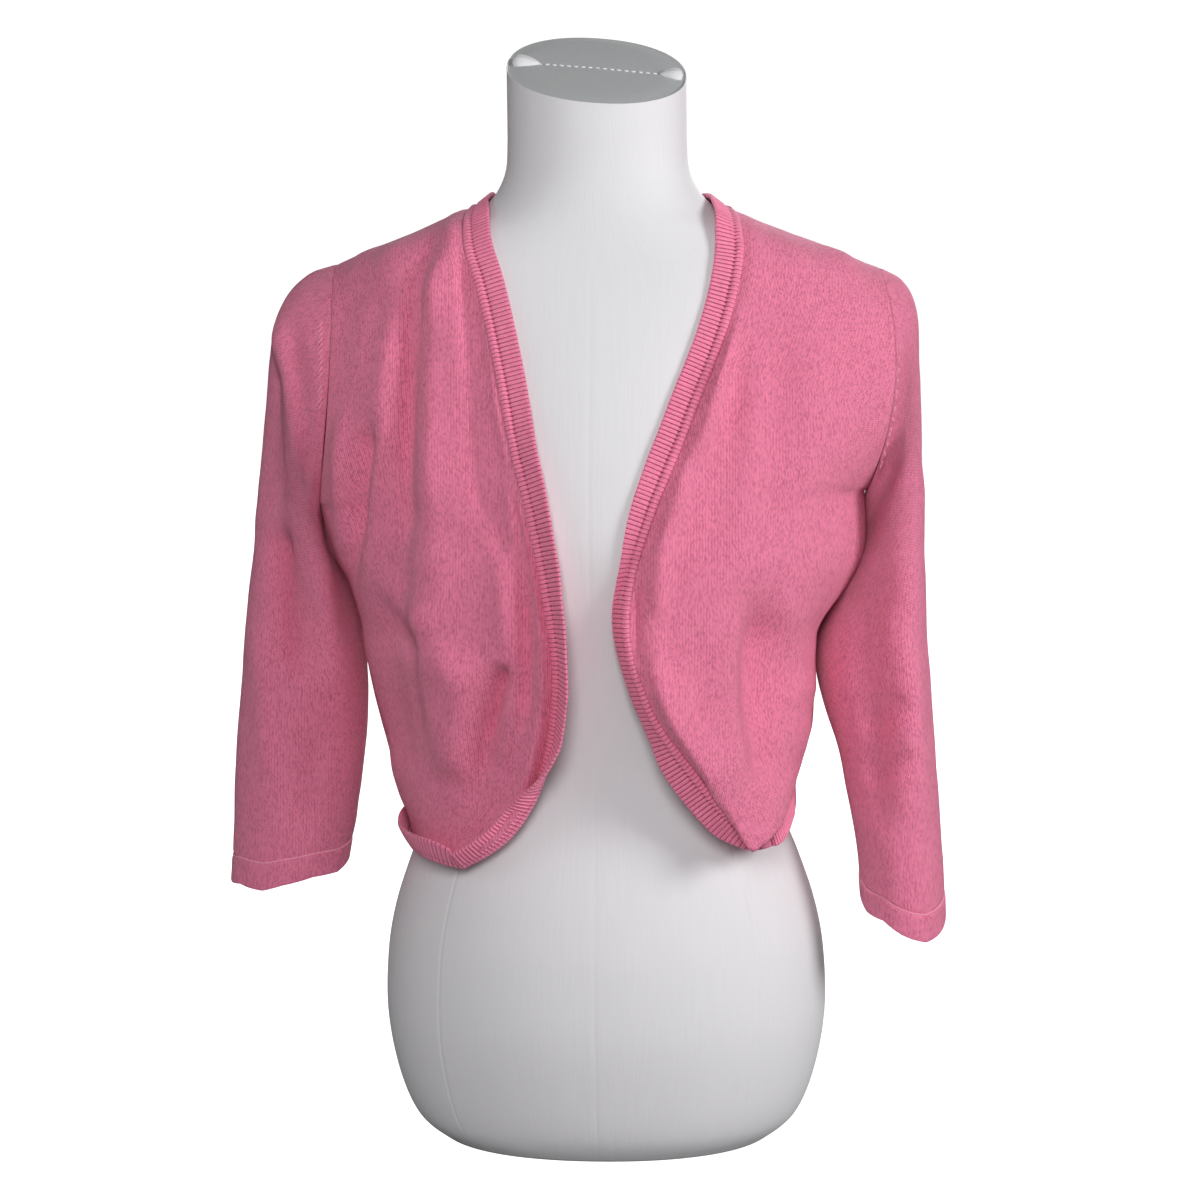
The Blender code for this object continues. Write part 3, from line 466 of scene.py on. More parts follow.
def read_table(rows, t):
    """Smooth curves through the rows of a table, at t from 0 (first row) to 1 (last)."""
    rows = np.asarray(rows, float)
    t = np.atleast_1d(np.asarray(t, float))
    last = len(rows) - 1
    at = np.clip(t, 0, 1) * last
    i = np.minimum(at.astype(int), last - 1)
    f = (at - i)[:, None]
    a, b = rows[i], rows[i + 1]
    before = np.where((i > 0)[:, None], rows[np.maximum(i - 1, 0)], 2 * a - b)
    after = np.where((i + 2 <= last)[:, None], rows[np.minimum(i + 2, last)], 2 * b - a)
    return 0.5 * (
        2 * a
        + (b - before) * f
        + (2 * before - 5 * a + 4 * b - after) * f * f
        + (3 * a - before - 3 * b + after) * f ** 3
    )


def evenly(rows, fractions, width=3, dense=400):
    """Points of the curve through rows at these fractions of its length in the first columns."""
    curve = read_table(rows, np.linspace(0, 1, dense + 1))
    length = distances(curve[:, :width])
    wanted = np.asarray(fractions) * length[-1]
    return np.stack([np.interp(wanted, length, column) for column in curve.T], 1)


def spread(values, count):
    """This many values of the smooth curve through a row of values."""
    return read_table(np.array(values, float)[:, None], np.linspace(0, 1, count))[:, 0]


def unit(v):
    return v / np.maximum(np.linalg.norm(v, axis=-1, keepdims=True), 1e-9)


def smooth(x):
    x = np.clip(x, 0.0, 1.0)
    return x * x * (3 - 2 * x)


def bell(distance, width):
    """1 at no distance, dying out over this width."""
    return np.exp(-((distance / width) ** 2))


def distances(points, axis=0):
    """How far each point of a grid lies from the first one along this axis."""
    steps = np.linalg.norm(np.diff(points, axis=axis), axis=-1)
    return np.concatenate([np.zeros_like(steps.take([0], axis)), np.cumsum(steps, axis)], axis)


def closed(rings):
    """The rings of a grid, or a single one, with their first point once more at the end."""
    return np.concatenate([rings, rings[..., :1, :]], axis=-2)


def facing(down, across, out):
    """The normals of a grid that runs down and across, on the side that out points to."""
    normals = unit(np.cross(down, across))
    return normals * np.sign((normals * out).sum())


def soft_noise(x, y, scale, seed):
    """Even hills and hollows from -1 to 1, about this far apart."""
    size = NOISE_TABLE
    table = np.random.default_rng(seed).uniform(-1, 1, (size, size))
    x, y = x / scale, y / scale
    i, k = np.floor(x).astype(int), np.floor(y).astype(int)
    fx, fy = smooth(x - i), smooth(y - k)
    low, high = (
        table[i % size, row % size] * (1 - fx) + table[(i + 1) % size, row % size] * fx
        for row in (k, k + 1)
    )
    return low * (1 - fy) + high * fy


# --- the dress form ---
PROFILE = read_table(FORM_SECTIONS, np.linspace(0, 1, 601))


def section_points(z, angle, half, front, back):
    """Points of horizontal sections; angle 0 is +X and 90 degrees the back."""
    c, s = np.cos(angle), np.sin(angle)
    power = 2 / FORM_SQUARENESS
    x = np.sign(c) * np.abs(c) ** power * half
    y = np.sign(s) * np.abs(s) ** power * np.where(s > 0, back, front)
    return np.stack(np.broadcast_arrays(x, y, z), -1)


def form_reach(points):
    """1 on the form's surface, more outside it."""
    x, y, z = points[..., 0], points[..., 1], points[..., 2]
    half, front, back = (np.interp(z, PROFILE[:, 0], PROFILE[:, i]) for i in (1, 2, 3))
    depth = np.where(y > 0, back, front)
    reach = np.abs(x / half) ** FORM_SQUARENESS + np.abs(y / depth) ** FORM_SQUARENESS
    return reach ** (1 / FORM_SQUARENESS)


def clear_of_form(points, clearance):
    """The points, each moved straight out of the form if it is nearer to it than the clearance."""
    points = np.array(points, float)
    for _ in range(MOVES):
        reach = form_reach(points)
        slope = np.stack([form_reach(points + step) - reach for step in np.eye(3)], -1)
        steepness = np.linalg.norm(slope, axis=-1)
        lack = clearance - (reach - 1) / steepness
        move = np.clip(lack, 0, LONGEST_MOVE)
        points += slope / steepness[..., None] * move[..., None]
    return points


def rim_height(x, y):
    middle = (FORM_SECTIONS[-1][3] - FORM_SECTIONS[-1][2]) / 2
    return NECK_TOP + NECK_TILT * (y - middle) - NECK_LEAN * x


# --- making pieces ---
def make_piece(name, points, faces, material, spots=None, uv=None, sharp=60):
    """A smooth mesh. spots are the faces' corners in the uv table, in the faces' order."""
    data = bpy.data.meshes.new(name)
    data.from_pydata((np.asarray(points) * METRES).tolist(), [], [list(f) for f in faces])
    if uv is not None:
        layer = data.uv_layers.new(name="knit")
        flat = uv[np.concatenate([np.asarray(s) for s in spots])] * METRES
        layer.data.foreach_set("uv", flat.ravel())
    mesh = bmesh.new()
    mesh.from_mesh(data)
    bmesh.ops.recalc_face_normals(mesh, faces=mesh.faces)
    mesh.to_mesh(data)
    mesh.free()
    data.shade_smooth()
    data.set_sharp_from_angle(angle=math.radians(sharp))
    data.materials.append(material)
    piece = bpy.data.objects.new(name, data)
    bpy.context.scene.collection.objects.link(piece)
    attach(piece, "root")
    return piece


def quads_of(rows, columns, tube=False, start=0):
    """The quads of a grid as corner numbers, and the same corners in a table that isn't wrapped."""
    spans = columns if tube else columns - 1
    r, c = np.meshgrid(np.arange(rows - 1), np.arange(spans), indexing="ij")
    around = ((0, 0), (0, 1), (1, 1), (1, 0))
    faces = np.stack([start + (r + i) * columns + (c + k) % columns for i, k in around], -1)
    wide = columns + 1 if tube else columns
    spots = np.stack([(r + i) * wide + (c + k) for i, k in around], -1)
    return faces.reshape(-1, 4), spots.reshape(-1, 4)


def build_wall(name, outer, inner, material, uv, tube=False, sharp=60):
    """A closed thin wall between two grids. The uv of a tube has its first column once more."""
    rows, columns = outer.shape[:2]
    shift = rows * columns
    points = np.concatenate([outer.reshape(-1, 3), inner.reshape(-1, 3)])
    front, spots = quads_of(rows, columns, tube)
    faces = [front, front[:, ::-1] + shift]
    places = [spots, spots[:, ::-1]]
    wide = columns + 1 if tube else columns
    for r in (0, rows - 1):
        c = np.arange(columns if tube else columns - 1)
        a, b = r * columns + c, r * columns + (c + 1) % columns
        faces.append(np.stack([a, b, b + shift, a + shift], -1))
        places.append(np.stack([r * wide + c, r * wide + c + 1, r * wide + c + 1, r * wide + c], -1))
    if not tube:
        for c in (0, columns - 1):
            r = np.arange(rows - 1)
            a, b = r * columns + c, (r + 1) * columns + c
            faces.append(np.stack([a, b, b + shift, a + shift], -1))
            places.append(np.stack([a, b, b, a], -1))
    uv = uv.reshape(-1, 2)
    return make_piece(name, points, np.concatenate(faces), material, np.concatenate(places), uv, sharp)


# --- folds ---
def fold_heights(rows, x, z):
    """Sum of the folds at places of the piece's front view, each along a smooth bent line."""
    total = np.zeros(x.shape)
    spots = np.stack([x, z], -1)
    for row in rows:
        fold = dict(zip(FOLD_COLUMNS, row))
        bend = [(fold["x0"], fold["z0"]), (fold["x1"], fold["z1"]), (fold["x2"], fold["z2"])]
        line = read_table(bend, np.linspace(0, 1, FOLD_STEPS + 1))
        best = np.full(x.shape, 1e9)
        along = np.zeros(x.shape)
        for i in range(FOLD_STEPS):
            a, b = line[i], line[i + 1]
            f = np.clip((spots - a) @ (b - a) / np.dot(b - a, b - a), 0, 1)
            distance = np.linalg.norm(spots - (a + f[..., None] * (b - a)), axis=-1)
            nearer = distance < best
            along = np.where(nearer, (i + f) / FOLD_STEPS, along)
            best = np.minimum(best, distance)
        ends = smooth(np.minimum(along, 1 - along) / FOLD_ENDS)
        total += fold["height"] * ends * bell(best, fold["half_width"])
    return total


# --- panels: the solids' own grids ---
def sign_of(side):
    return -1.0 if side == "right" else 1.0


def edge_table(side):
    return EDGE_OF_RIGHT if side == "right" else EDGE_OF_LEFT


def armhole_points(side, angle):
    """Points of the armhole; angle 0 is the shoulder, 180 degrees the armpit, 90 the front."""
    pit_painted_shade = ARMHOLE[side]
    (tx, tz), (bx, bz) = pit_painted_shade["top"], pit_painted_shade["bottom"]
    c, s = np.cos(angle), np.sin(angle)
    x = (tx + bx) / 2 + (tx - bx) / 2 * c + pit_painted_shade["bulge"] * s * s
    z = (tz + bz) / 2 + (tz - bz) / 2 * c
    y = -s * np.where(s > 0, ARMHOLE_FRONT, ARMHOLE_BACK)
    return np.stack([sign_of(side) * x, y, z], -1)


def armhole_normals(side, angle, lean):
    c, s = np.cos(angle), np.sin(angle)
    sideways = SHOULDER_SLOPE * np.maximum(c, 0.0) + lean * np.maximum(-c, 0.0)
    return unit(np.stack([sign_of(side) * sideways, -ARMHOLE_SLIMNESS * s, c], -1))


def shoulder_normal(side):
    pit_painted_shade = ARMHOLE[side]["top"]
    neck = edge_table(side)[0]
    return unit(np.array([sign_of(side) * (neck[2] - pit_painted_shade[1]), 0, pit_painted_shade[0] - neck[0]]))


def outer_edge(side, front):
    """The points and normals of a panel's edge at the armhole and the side seam."""
    turn = 1 if front else -1
    away = -1 if front else 1
    angle = turn * math.pi * np.arange(ARMHOLE_ROWS + 1) / ARMHOLE_ROWS
    points = armhole_points(side, angle)
    points[:, 0] -= sign_of(side) * GAP / 2
    normals = armhole_normals(side, angle, ARMPIT_LEAN)
    normals[0] = shoulder_normal(side)
    points[[0, -1], 1] = away * GAP / 2
    normals[[0, -1], 1] = 0
    seam = evenly(SIDE_SEAM[side], np.linspace(0, 1, SIDE_ROWS + 1), width=2)
    along = unit(seam[:-1] - np.vstack([seam[2:], seam[-1:]]))
    low = np.zeros((SIDE_ROWS, 3))
    low[:, 0] = sign_of(side) * seam[1:, 0]
    low[:, 1] = away * GAP / 2
    low[:, 2] = seam[1:, 1]
    low_normals = np.stack([sign_of(side) * along[:, 1], np.zeros(SIDE_ROWS), -along[:, 0]], -1)
    return np.vstack([points, low]), unit(np.vstack([normals, low_normals]))


def inner_edge(side):
    """The points and band turns of a front's inner edge, one for each row."""
    table = edge_table(side)
    dense = evenly(table, np.linspace(0, 1, 401))
    share = np.argmax(dense[:, 2] < ARMHOLE[side]["bottom"][1]) / 400
    fractions = np.concatenate([
        np.linspace(0, share, ARMHOLE_ROWS + 1),
        np.linspace(share, 1, SIDE_ROWS + 1)[1:],
    ])
    rows = evenly(table, fractions)
    rows[:, 0] *= sign_of(side)
    rows[0, 1] = -GAP / 2
    return rows[:, :3], rows[:, 3]


def rows_between(outer, inner, columns):
    """A grid of quarter-round rows, which leave the outer edge at right angles."""
    s = np.linspace(0, 1, columns + 1)[None, :]
    share = smooth(np.arange(len(outer)) / ARMHOLE_ROWS)[:, None]
    across = (1 - share) * s + share * (1 - np.cos(s * math.pi / 2))
    bend = np.sin(s * math.pi / 2) + 0 * share
    down = s + 0 * share
    blend = np.stack([across, bend, down], -1)
    return outer[:, None, :] + (inner - outer)[:, None, :] * blend


def grid_normals(grid):
    centres = grid.mean(1) * CENTRE_SHARES
    return facing(*np.gradient(grid, axis=(0, 1)), grid - centres[:, None, :])


def hang_over(grid):
    """The grid with the slack that hangs over the corner; its seams stay."""
    normals = grid_normals(grid)
    share = bell(np.linalg.norm(grid - grid[-1, -1], axis=2), LOBE_WIDTH)
    hung = grid + share[:, :, None] * (normals * LOBE_OUT - (0, 0, LOBE_DOWN))
    hung[0], hung[-1] = grid[0], grid[-1]
    hung[:, 0], hung[:, -1] = grid[:, 0], grid[:, -1]
    return hung


def set_clear(grid, last_fixed):
    """The grid clear of the form: its points first, then, eased once, the middles of its faces."""
    columns = grid.shape[1]
    inside = slice(1, columns - last_fixed)
    grid[1:, inside] = clear_of_form(grid[1:, inside], FORM_CLEARANCE)
    eased = grid.copy()
    eased[1:-1, 1:-1] = 0.25 * (grid[:-2, 1:-1] + grid[2:, 1:-1] + grid[1:-1, :-2] + grid[1:-1, 2:])
    grid[EASED_ROWS, 1:-1] += EASING * (eased - grid)[EASED_ROWS, 1:-1]
    for _ in range(MIDDLE_MOVES):
        middle = 0.25 * (grid[:-1, :-1] + grid[1:, :-1] + grid[:-1, 1:] + grid[1:, 1:])
        move = clear_of_form(middle, FORM_CLEARANCE) - middle
        shift = np.zeros_like(grid)
        for i, k in ((0, 0), (0, 1), (1, 0), (1, 1)):
            part = shift[i:len(grid) - 1 + i, k:columns - 1 + k]
            larger = np.linalg.norm(move, axis=-1) > np.linalg.norm(part, axis=-1)
            part[larger] = move[larger]
        grid[1:, 1:-1] += shift[1:, 1:-1]
    return grid


def front_grid(side):
    outer, outer_normals = outer_edge(side, True)
    inner, turns = inner_edge(side)
    grid = set_clear(rows_between(outer, inner, FRONT_COLUMNS), 0)
    return grid, outer_normals, turns


def back_half(side):
    """The back from one side's seams to its middle line, and its edge normals."""
    outer, outer_normals = outer_edge(side, False)
    columns = SHOULDER_COLUMNS + NECK_COLUMNS
    table = edge_table(side)
    neck_end = np.array([sign_of(side) * table[0][0], GAP / 2, table[0][2]])
    steps = np.linspace(0, 1, SHOULDER_COLUMNS + 1)[:, None]
    shoulder = outer[0] + (neck_end - outer[0]) * steps
    neck = evenly(np.vstack([np.abs(neck_end), BACK_NECK]), np.linspace(0, 1, NECK_COLUMNS + 1))
    neck[:, 0] *= sign_of(side)
    top = np.vstack([shoulder, neck[1:]])
    middle = evenly(BACK_MIDDLE, np.concatenate([
        np.linspace(0, ARMPIT_ON_BACK, ARMHOLE_ROWS + 1),
        np.linspace(ARMPIT_ON_BACK, 1, SIDE_ROWS + 1)[1:],
    ]), width=2)
    inner = np.column_stack([np.zeros(len(middle)), middle])
    grid = rows_between(outer, inner, columns)
    weight = np.clip(1 - np.arange(len(outer)) / NECK_BLEND_ROWS, 0, None) ** NECK_BLEND_POWER
    return grid + (top - grid[0])[None] * weight[:, None, None], outer_normals


# --- panels: fine cloth ---
def fine_places(count):
    return np.linspace(0, 1, (count - 1) * PANEL_STEP + 1)


def refine(grid):
    """The grid on PANEL_STEP times as many rows and columns, through the same points."""
    down = read_table(np.eye(len(grid)), fine_places(len(grid)))
    across = read_table(np.eye(grid.shape[1]), fine_places(grid.shape[1]))
    return np.einsum("ri,ijk,cj->rck", down, grid, across)


def edge_distances(grid):
    """How far each point is from the grid's first column, its last column and its last row."""
    from_first, from_top = distances(grid, axis=1), distances(grid)
    return from_first, from_first[:, -1:] - from_first, from_top[-1:] - from_top


def knit_places(grid, plumb):
    """Where each point is in the knit: along its course from the plumb line x, and down its wale."""
    across = distances(grid[..., :2], axis=1)
    x = grid[..., 0]
    order = np.sign(x[:, -1:] - x[:, :1])
    at_plumb = np.array([
        np.interp(plumb * o, line * o, row) for line, row, o in zip(x, across, order[:, 0])
    ])
    u = (across - at_plumb[:, None]) * order
    return np.stack([u, -distances(grid[..., 1:])], -1)


def seam_swell(distance):
    """The soft roll of cloth beside a seam, which dips at the seam itself."""
    near = distance / SEAM_WIDTH
    dip = SEAM_DIP * bell(near, SEAM_DIP_WIDTH)
    return SEAM_ROLL * (near * SEAM_RISE * np.exp(-near * SEAM_FALL) - dip)


def panel_seam_roll(from_seam):
    """The roll beside a panel's outer seam, lower at the shoulder and below the armhole."""
    rows = np.arange(len(from_seam))[:, None] / PANEL_STEP
    on_armhole = smooth((ARMHOLE_ROWS + 1 - rows) / 2) * smooth(rows / 2)
    return seam_swell(from_seam) * (LOW_SEAM_SHARE + (1 - LOW_SEAM_SHARE) * on_armhole)


def band_roll(side, z, from_band):
    """The roll beside a front's band, which is highest below the chest."""
    height = BAND_SWELL * (1 + LOW_ROLL[side] * smooth((LOW_ROLL_FROM - z) / LOW_ROLL_BLEND))
    near = from_band / BAND_ROLL
    return height * near * np.exp(0.5 - 0.5 * near ** 2)


def uneven(place, fine_place, z, seed, fine_seed):
    """The cloth's own soft hills and fine unevenness, at places across it and heights."""
    fine = FINE_UNEVEN * soft_noise(fine_place, z * FINE_STRETCH, FINE_SPAN, fine_seed)
    return UNEVEN * soft_noise(place, z, UNEVEN_SPAN, seed) + fine


def lay_folds(name, grid, fade, swell):
    """A panel's fine grid with its folds, creases and rolls, clear of the form."""
    x, z = grid[..., 0], grid[..., 2]
    place = x + grid[..., 1]
    height = fold_heights(FOLDS[name] + CREASES[name], x, z)
    height += uneven(place, place, z, seed=len(name), fine_seed=len(name) + 50)
    grid = grid + grid_normals(grid) * (height * fade + swell)[..., None]
    grid[1:, 1:-1] = clear_of_form(grid[1:, 1:-1], FINE_CLEARANCE)
    return grid


def panel_normals(grid, seams, top):
    """A panel's normals, with those of the solid's edge on its seams.

    Each seam is a column, its side and the normals of its rows in the solid. top is how many
    columns of the first row are on that side's shoulder seam.
    """
    normals = grid_normals(grid)
    for column, side, edge in seams:
        normals[:, column] = unit(read_table(edge, np.linspace(0, 1, len(grid))))
        normals[0, slice(top) if column == 0 else slice(-top, None)] = shoulder_normal(side)
    return normals


def build_front(side):
    name = "front_" + side
    coarse, outer_normals, turns = front_grid(side)
    base = refine(hang_over(coarse) if side == "left" else coarse)
    from_seam, from_band, from_hem = edge_distances(base)
    fade = smooth(from_seam / EDGE_FADE) * smooth(from_band / BAND_FADE) * smooth(from_hem / FOLD_FADE)
    swell = panel_seam_roll(from_seam)
    swell += band_roll(side, base[..., 2], from_band) * smooth(from_hem / FOLD_FADE)
    swell *= smooth(from_hem / SEAM_WIDTH)
    grid = lay_folds(name, base, fade, swell)
    seams = [(0, side, outer_normals)]
    out = panel_normals(grid, seams, grid.shape[1])
    places = knit_places(base, sign_of(side) * FRONT_PLUMB)
    piece = build_wall(name + "_knit", grid, grid - out * WALL, KNIT, places)
    finish_cloth(name)

    normals = panel_normals(coarse, seams, coarse.shape[1])
    hem = np.arange(FRONT_COLUMNS - 1, -1, -1)
    path_normals = np.concatenate([normals[:, -1], normals[-1, hem]])
    inside = np.concatenate([coarse[:, -2], coarse[-2, hem]])
    path = np.concatenate([coarse[:, -1], coarse[-1, hem]])
    fine = np.concatenate([grid[:, -1], grid[-1, -2::-1]])
    hem_turns = spread(HEM_TURN[side], FRONT_COLUMNS + 1)[1:]
    band = Band(path, fine, path_normals, inside, np.concatenate([turns, hem_turns]))
    build_band("band_front_" + side, band)


def build_back():
    right, right_normals = back_half("right")
    left, left_normals = back_half("left")
    coarse = set_clear(np.concatenate([right, left[:, -2::-1]], axis=1), 1)
    columns = coarse.shape[1]
    base = refine(coarse)
    from_right, from_left, from_hem = edge_distances(base)
    fade = smooth(from_right / EDGE_FADE) * smooth(from_left / EDGE_FADE) * smooth(from_hem / FOLD_FADE)
    swell = panel_seam_roll(from_right) + panel_seam_roll(from_left)
    swell *= smooth(from_hem / SEAM_WIDTH)
    grid = lay_folds("back", base, fade, swell)
    seams = [(0, "right", right_normals), (-1, "left", left_normals)]
    out = panel_normals(grid, seams, SHOULDER_COLUMNS * PANEL_STEP + 1)
    piece = build_wall("back_knit", grid, grid - out * WALL, KNIT, knit_places(base, 0.0))
    finish_cloth("back")

    normals = panel_normals(coarse, seams, SHOULDER_COLUMNS + 1)
    neck = slice(SHOULDER_COLUMNS, columns - SHOULDER_COLUMNS)
    fine_neck = slice(SHOULDER_COLUMNS * PANEL_STEP, (columns - 1 - SHOULDER_COLUMNS) * PANEL_STEP + 1)
    turns = spread(NECK_TURN, columns - 2 * SHOULDER_COLUMNS)
    band = Band(coarse[0, neck], grid[0, fine_neck], normals[0, neck], coarse[1, neck], turns)
    build_band("band_neck_back", band)
    turns = spread(BACK_HEM_TURN, columns)
    band = Band(coarse[-1], grid[-1], normals[-1], coarse[-2], turns)
    build_band("band_hem_back", band)


# --- sleeves ---
def sleeve_surface(side, down, around):
    """Points of a sleeve at shares of its length and angles; 0 is the top, 90 degrees the front."""
    sign = sign_of(side)
    rows = read_table(SLEEVE[side], down)
    ox, oz, ix, iz, depth, middle, bulge, dip, lean = (rows[:, [i]] for i in range(9))
    co, si = np.cos(around)[None, :], np.sin(around)[None, :]
    x = (ox + ix) / 2 + (ox - ix) / 2 * co + bulge * si * si
    z = (oz + iz) / 2 + (oz - iz) / 2 * co - dip * si
    grid = np.stack([sign * x, middle - depth * si + lean * (1 - co) / 2, z], -1)
    grid[..., 0] += sign * GAP / 2 * (down < 1e-6)[:, None]
    return grid


def sleeve_normals(grid):
    across = np.roll(grid, -1, axis=1) - np.roll(grid, 1, axis=1)
    return facing(np.gradient(grid, axis=0), across, grid - grid.mean(1)[:, None, :])


def sleeve_rows(side):
    """Shares of a sleeve's length, close together round its cuff."""
    table = SLEEVE[side]
    length = np.linalg.norm(table[-1][:2] - table[0][:2])
    cuff = 1 - np.linspace(0, 2 * CUFF_DEPTH, CUFF_ROWS)[::-1] / length
    return np.concatenate([np.linspace(0, cuff[0], SLEEVE_FINE_ROWS - CUFF_ROWS, endpoint=False), cuff])


def sleeve_heights(side, base, normals, from_top, from_cuff):
    """A sleeve's creases in front and behind, its unevenness, its seam's roll and its cuff's hem."""
    name = "sleeve_" + side
    x, y, z = base[..., 0], base[..., 1], base[..., 2]
    height = fold_heights(FOLDS[name] + CREASES[name], x, z) * smooth(-2 * normals[..., 1])
    height += fold_heights(CREASES[name + "_back"], x, z) * smooth(2 * normals[..., 1])
    height += uneven(x + y, x - y, z, seed=7 + len(side), fine_seed=70 + len(side))
    height *= smooth(from_top / EDGE_FADE) * smooth(from_cuff / CUFF_FADE + CUFF_CREASE)
    height += SLEEVE_ROLL * seam_swell(from_top) / SEAM_ROLL
    lip = smooth(from_cuff / CUFF_LIP + CUFF_LIP_SHARE)
    height += CUFF_SWELL * smooth((CUFF_DEPTH - from_cuff) / CUFF_RISE) * lip
    return height - CUFF_GROOVE * bell(from_cuff - CUFF_DEPTH, CUFF_GROOVE_WIDTH)


def build_sleeve(side):
    # the first column is at the armpit, where the sleeve's own seam runs down to the cuff
    around = math.pi + 2 * math.pi * np.arange(SLEEVE_FINE_COLUMNS) / SLEEVE_FINE_COLUMNS
    base = sleeve_surface(side, sleeve_rows(side), around)
    normals = sleeve_normals(base)
    from_top = distances(base).mean(1)[:, None]
    from_cuff = from_top[-1] - from_top
    grid = base + normals * sleeve_heights(side, base, normals, from_top, from_cuff)[..., None]
    wave = np.interp(np.degrees(around) % 360, *zip(*CUFF_WAVE[side]))
    grid[..., 2] += wave * smooth(1 - from_cuff / CUFF_WAVE_REACH)
    out = sleeve_normals(grid)
    out[0] = armhole_normals(side, around, -ARMPIT_LEAN)
    thickness = (WALL + (CUFF_WALL - WALL) * smooth((CUFF_DEPTH - from_cuff) / CUFF_TURN))[..., None]
    u = distances(closed(base), axis=1)
    u -= u[:, [SLEEVE_FINE_COLUMNS // 2]]
    places = np.stack([u, np.broadcast_to(-from_top, u.shape)], -1)
    name = "sleeve_" + side
    piece = build_wall(name + "_knit", grid, grid - out * thickness, KNIT, places, tube=True)
    row = np.argmin(np.abs(from_cuff - CUFF_DEPTH))
    stitches = build_cuff_stitches(side, grid[row], out[row])
    marks = build_fashion_marks(side, grid, out, from_top[:, 0], around)
    finish_cloth(name)


# --- stitches that stand on the cloth ---
def add_stitch(points, faces, centre, along, out, size):
    """A small pillow of thread, with its back in the cloth."""
    length, width, height = size
    along = unit(along - out * np.dot(along, out))
    side = np.cross(along, out)
    start = len(points)
    for place, share in STITCH_RINGS:
        for i in range(STITCH_SIDES):
            a = 2 * math.pi * i / STITCH_SIDES
            points.append(
                centre + along * place * length / 2
                + side * math.cos(a) * share * width / 2 + out * math.sin(a) * share * height
            )
    last = start + (len(STITCH_RINGS) - 1) * STITCH_SIDES
    for low in range(start, last, STITCH_SIDES):
        for i in range(STITCH_SIDES):
            k = (i + 1) % STITCH_SIDES
            faces.append((low + i, low + k, low + STITCH_SIDES + k, low + STITCH_SIDES + i))
    for first in (start, last):
        faces.append(tuple(range(first, first + STITCH_SIDES)))


def build_cuff_stitches(side, ring, outs):
    """The line of stitches that holds the cuff's turned hem, all round the sleeve."""
    points, faces = [], []
    ring = closed(ring)
    steps = distances(ring)
    count = round(steps[-1] / CUFF_STITCH_PITCH)
    for i in range(count):
        at = (i + 0.5) / count * steps[-1]
        centre, ahead = (
            np.array([np.interp(place, steps, axis) for axis in ring.T]) for place in (at, at + 0.5)
        )
        out = unit(outs[min(np.searchsorted(steps, at) - 1, len(outs) - 1)])
        along = ahead - centre + CUFF_STITCH_SLANT * (-1) ** i * np.array([0, 0, 1.0])
        add_stitch(points, faces, centre + out * CUFF_STITCH_OUT, along, out, CUFF_STITCH)
    piece = make_piece("cuff_stitches_" + side, points, faces, STITCH_THREAD)
    return piece


def build_fashion_marks(side, grid, outs, from_top, around):
    """The fully fashioned narrowings: slanted stitches beside the armhole, front and back."""
    points, faces = [], []
    first, last, count = MARK_ANGLES[side]
    row = int(np.argmin(np.abs(from_top - MARK_DISTANCE)))
    for turn in (1, -1):
        for i in range(count):
            angle = turn * math.radians(first + (last - first) * i / (count - 1))
            column = int(np.argmin(np.abs((around - angle + math.pi) % (2 * math.pi) - math.pi)))
            centre, out = grid[row, column], unit(outs[row, column])
            down = unit(grid[row, (column + turn) % len(around)] - centre)
            away = unit(grid[row + 1, column] - centre)
            slant = down + MARK_SLANT * away
            add_stitch(points, faces, centre + out * MARK_OUT, slant, out, MARK)
            add_stitch(points, faces, centre + away * TWIN_AWAY + down * TWIN_ALONG, slant, out, TWIN_MARK)
    piece = make_piece("fashion_marks_" + side, points, faces, MARK_YARN)
    return piece


# --- the ribbed band ---
class Band:
    """The path of a band, read at any distances along it."""

    def __init__(self, path, fine_path, normals, inside, turns):
        tangents = unit(np.gradient(path, axis=0))
        for end in (0, -1):
            tangents[end] = (0, math.copysign(1, tangents[end][1]), 0)
        self.normals = unit(normals - tangents * (normals * tangents).sum(1)[:, None])
        outward = np.cross(tangents, self.normals)
        self.outward = outward * np.sign((outward * (path - inside)).sum())
        self.turns = np.radians(turns)
        self.fine_path = fine_path
        self.at = distances(path)
        self.length = self.at[-1]

    def read(self, distance):
        t = np.interp(distance, self.at, np.arange(len(self.at))) / (len(self.at) - 1)
        normal = unit(read_table(self.normals, t))
        outward = read_table(self.outward, t)
        outward = unit(outward - normal * (outward * normal).sum(1)[:, None])
        return read_table(self.fine_path, t), normal, outward, np.interp(distance, self.at, self.turns)

    def place(self, distance, reach, height):
        """Points this far along the band and this far out from its seam, at heights over its face."""
        point, normal, outward, turn = self.read(distance)
        turn = np.where(np.abs(turn) < 1e-3, 1e-3, turn)
        length = STRIP_WIDTH + (FOLDED_BEND - STRIP_WIDTH) * smooth(2 * np.abs(turn) / math.pi - 1)
        length = length[:, None, None]
        curve = turn[:, None, None] / length
        reach = reach[None, :, None]
        bent = np.minimum(reach, length) * curve
        normal, outward = normal[:, None, :], outward[:, None, :]
        spot = point[:, None, :] + outward * (GAP / 2 + np.sin(bent) / curve)
        spot = spot + normal * (1 - np.cos(bent)) / curve
        direction = outward * np.cos(bent) + normal * np.sin(bent)
        face = normal * np.cos(bent) - outward * np.sin(bent)
        spot = spot + direction * np.maximum(0.0, reach - length)
        moved = np.where(reach > 0, clear_of_form(spot, BAND_CLEARANCE), spot)
        return moved + face * height[..., None]


def rib_profile(phase):
    """Height of a rib from 0 to 1; whole numbers are the grooves."""
    return np.abs(np.sin(math.pi * phase)) ** RIB_ROUNDNESS


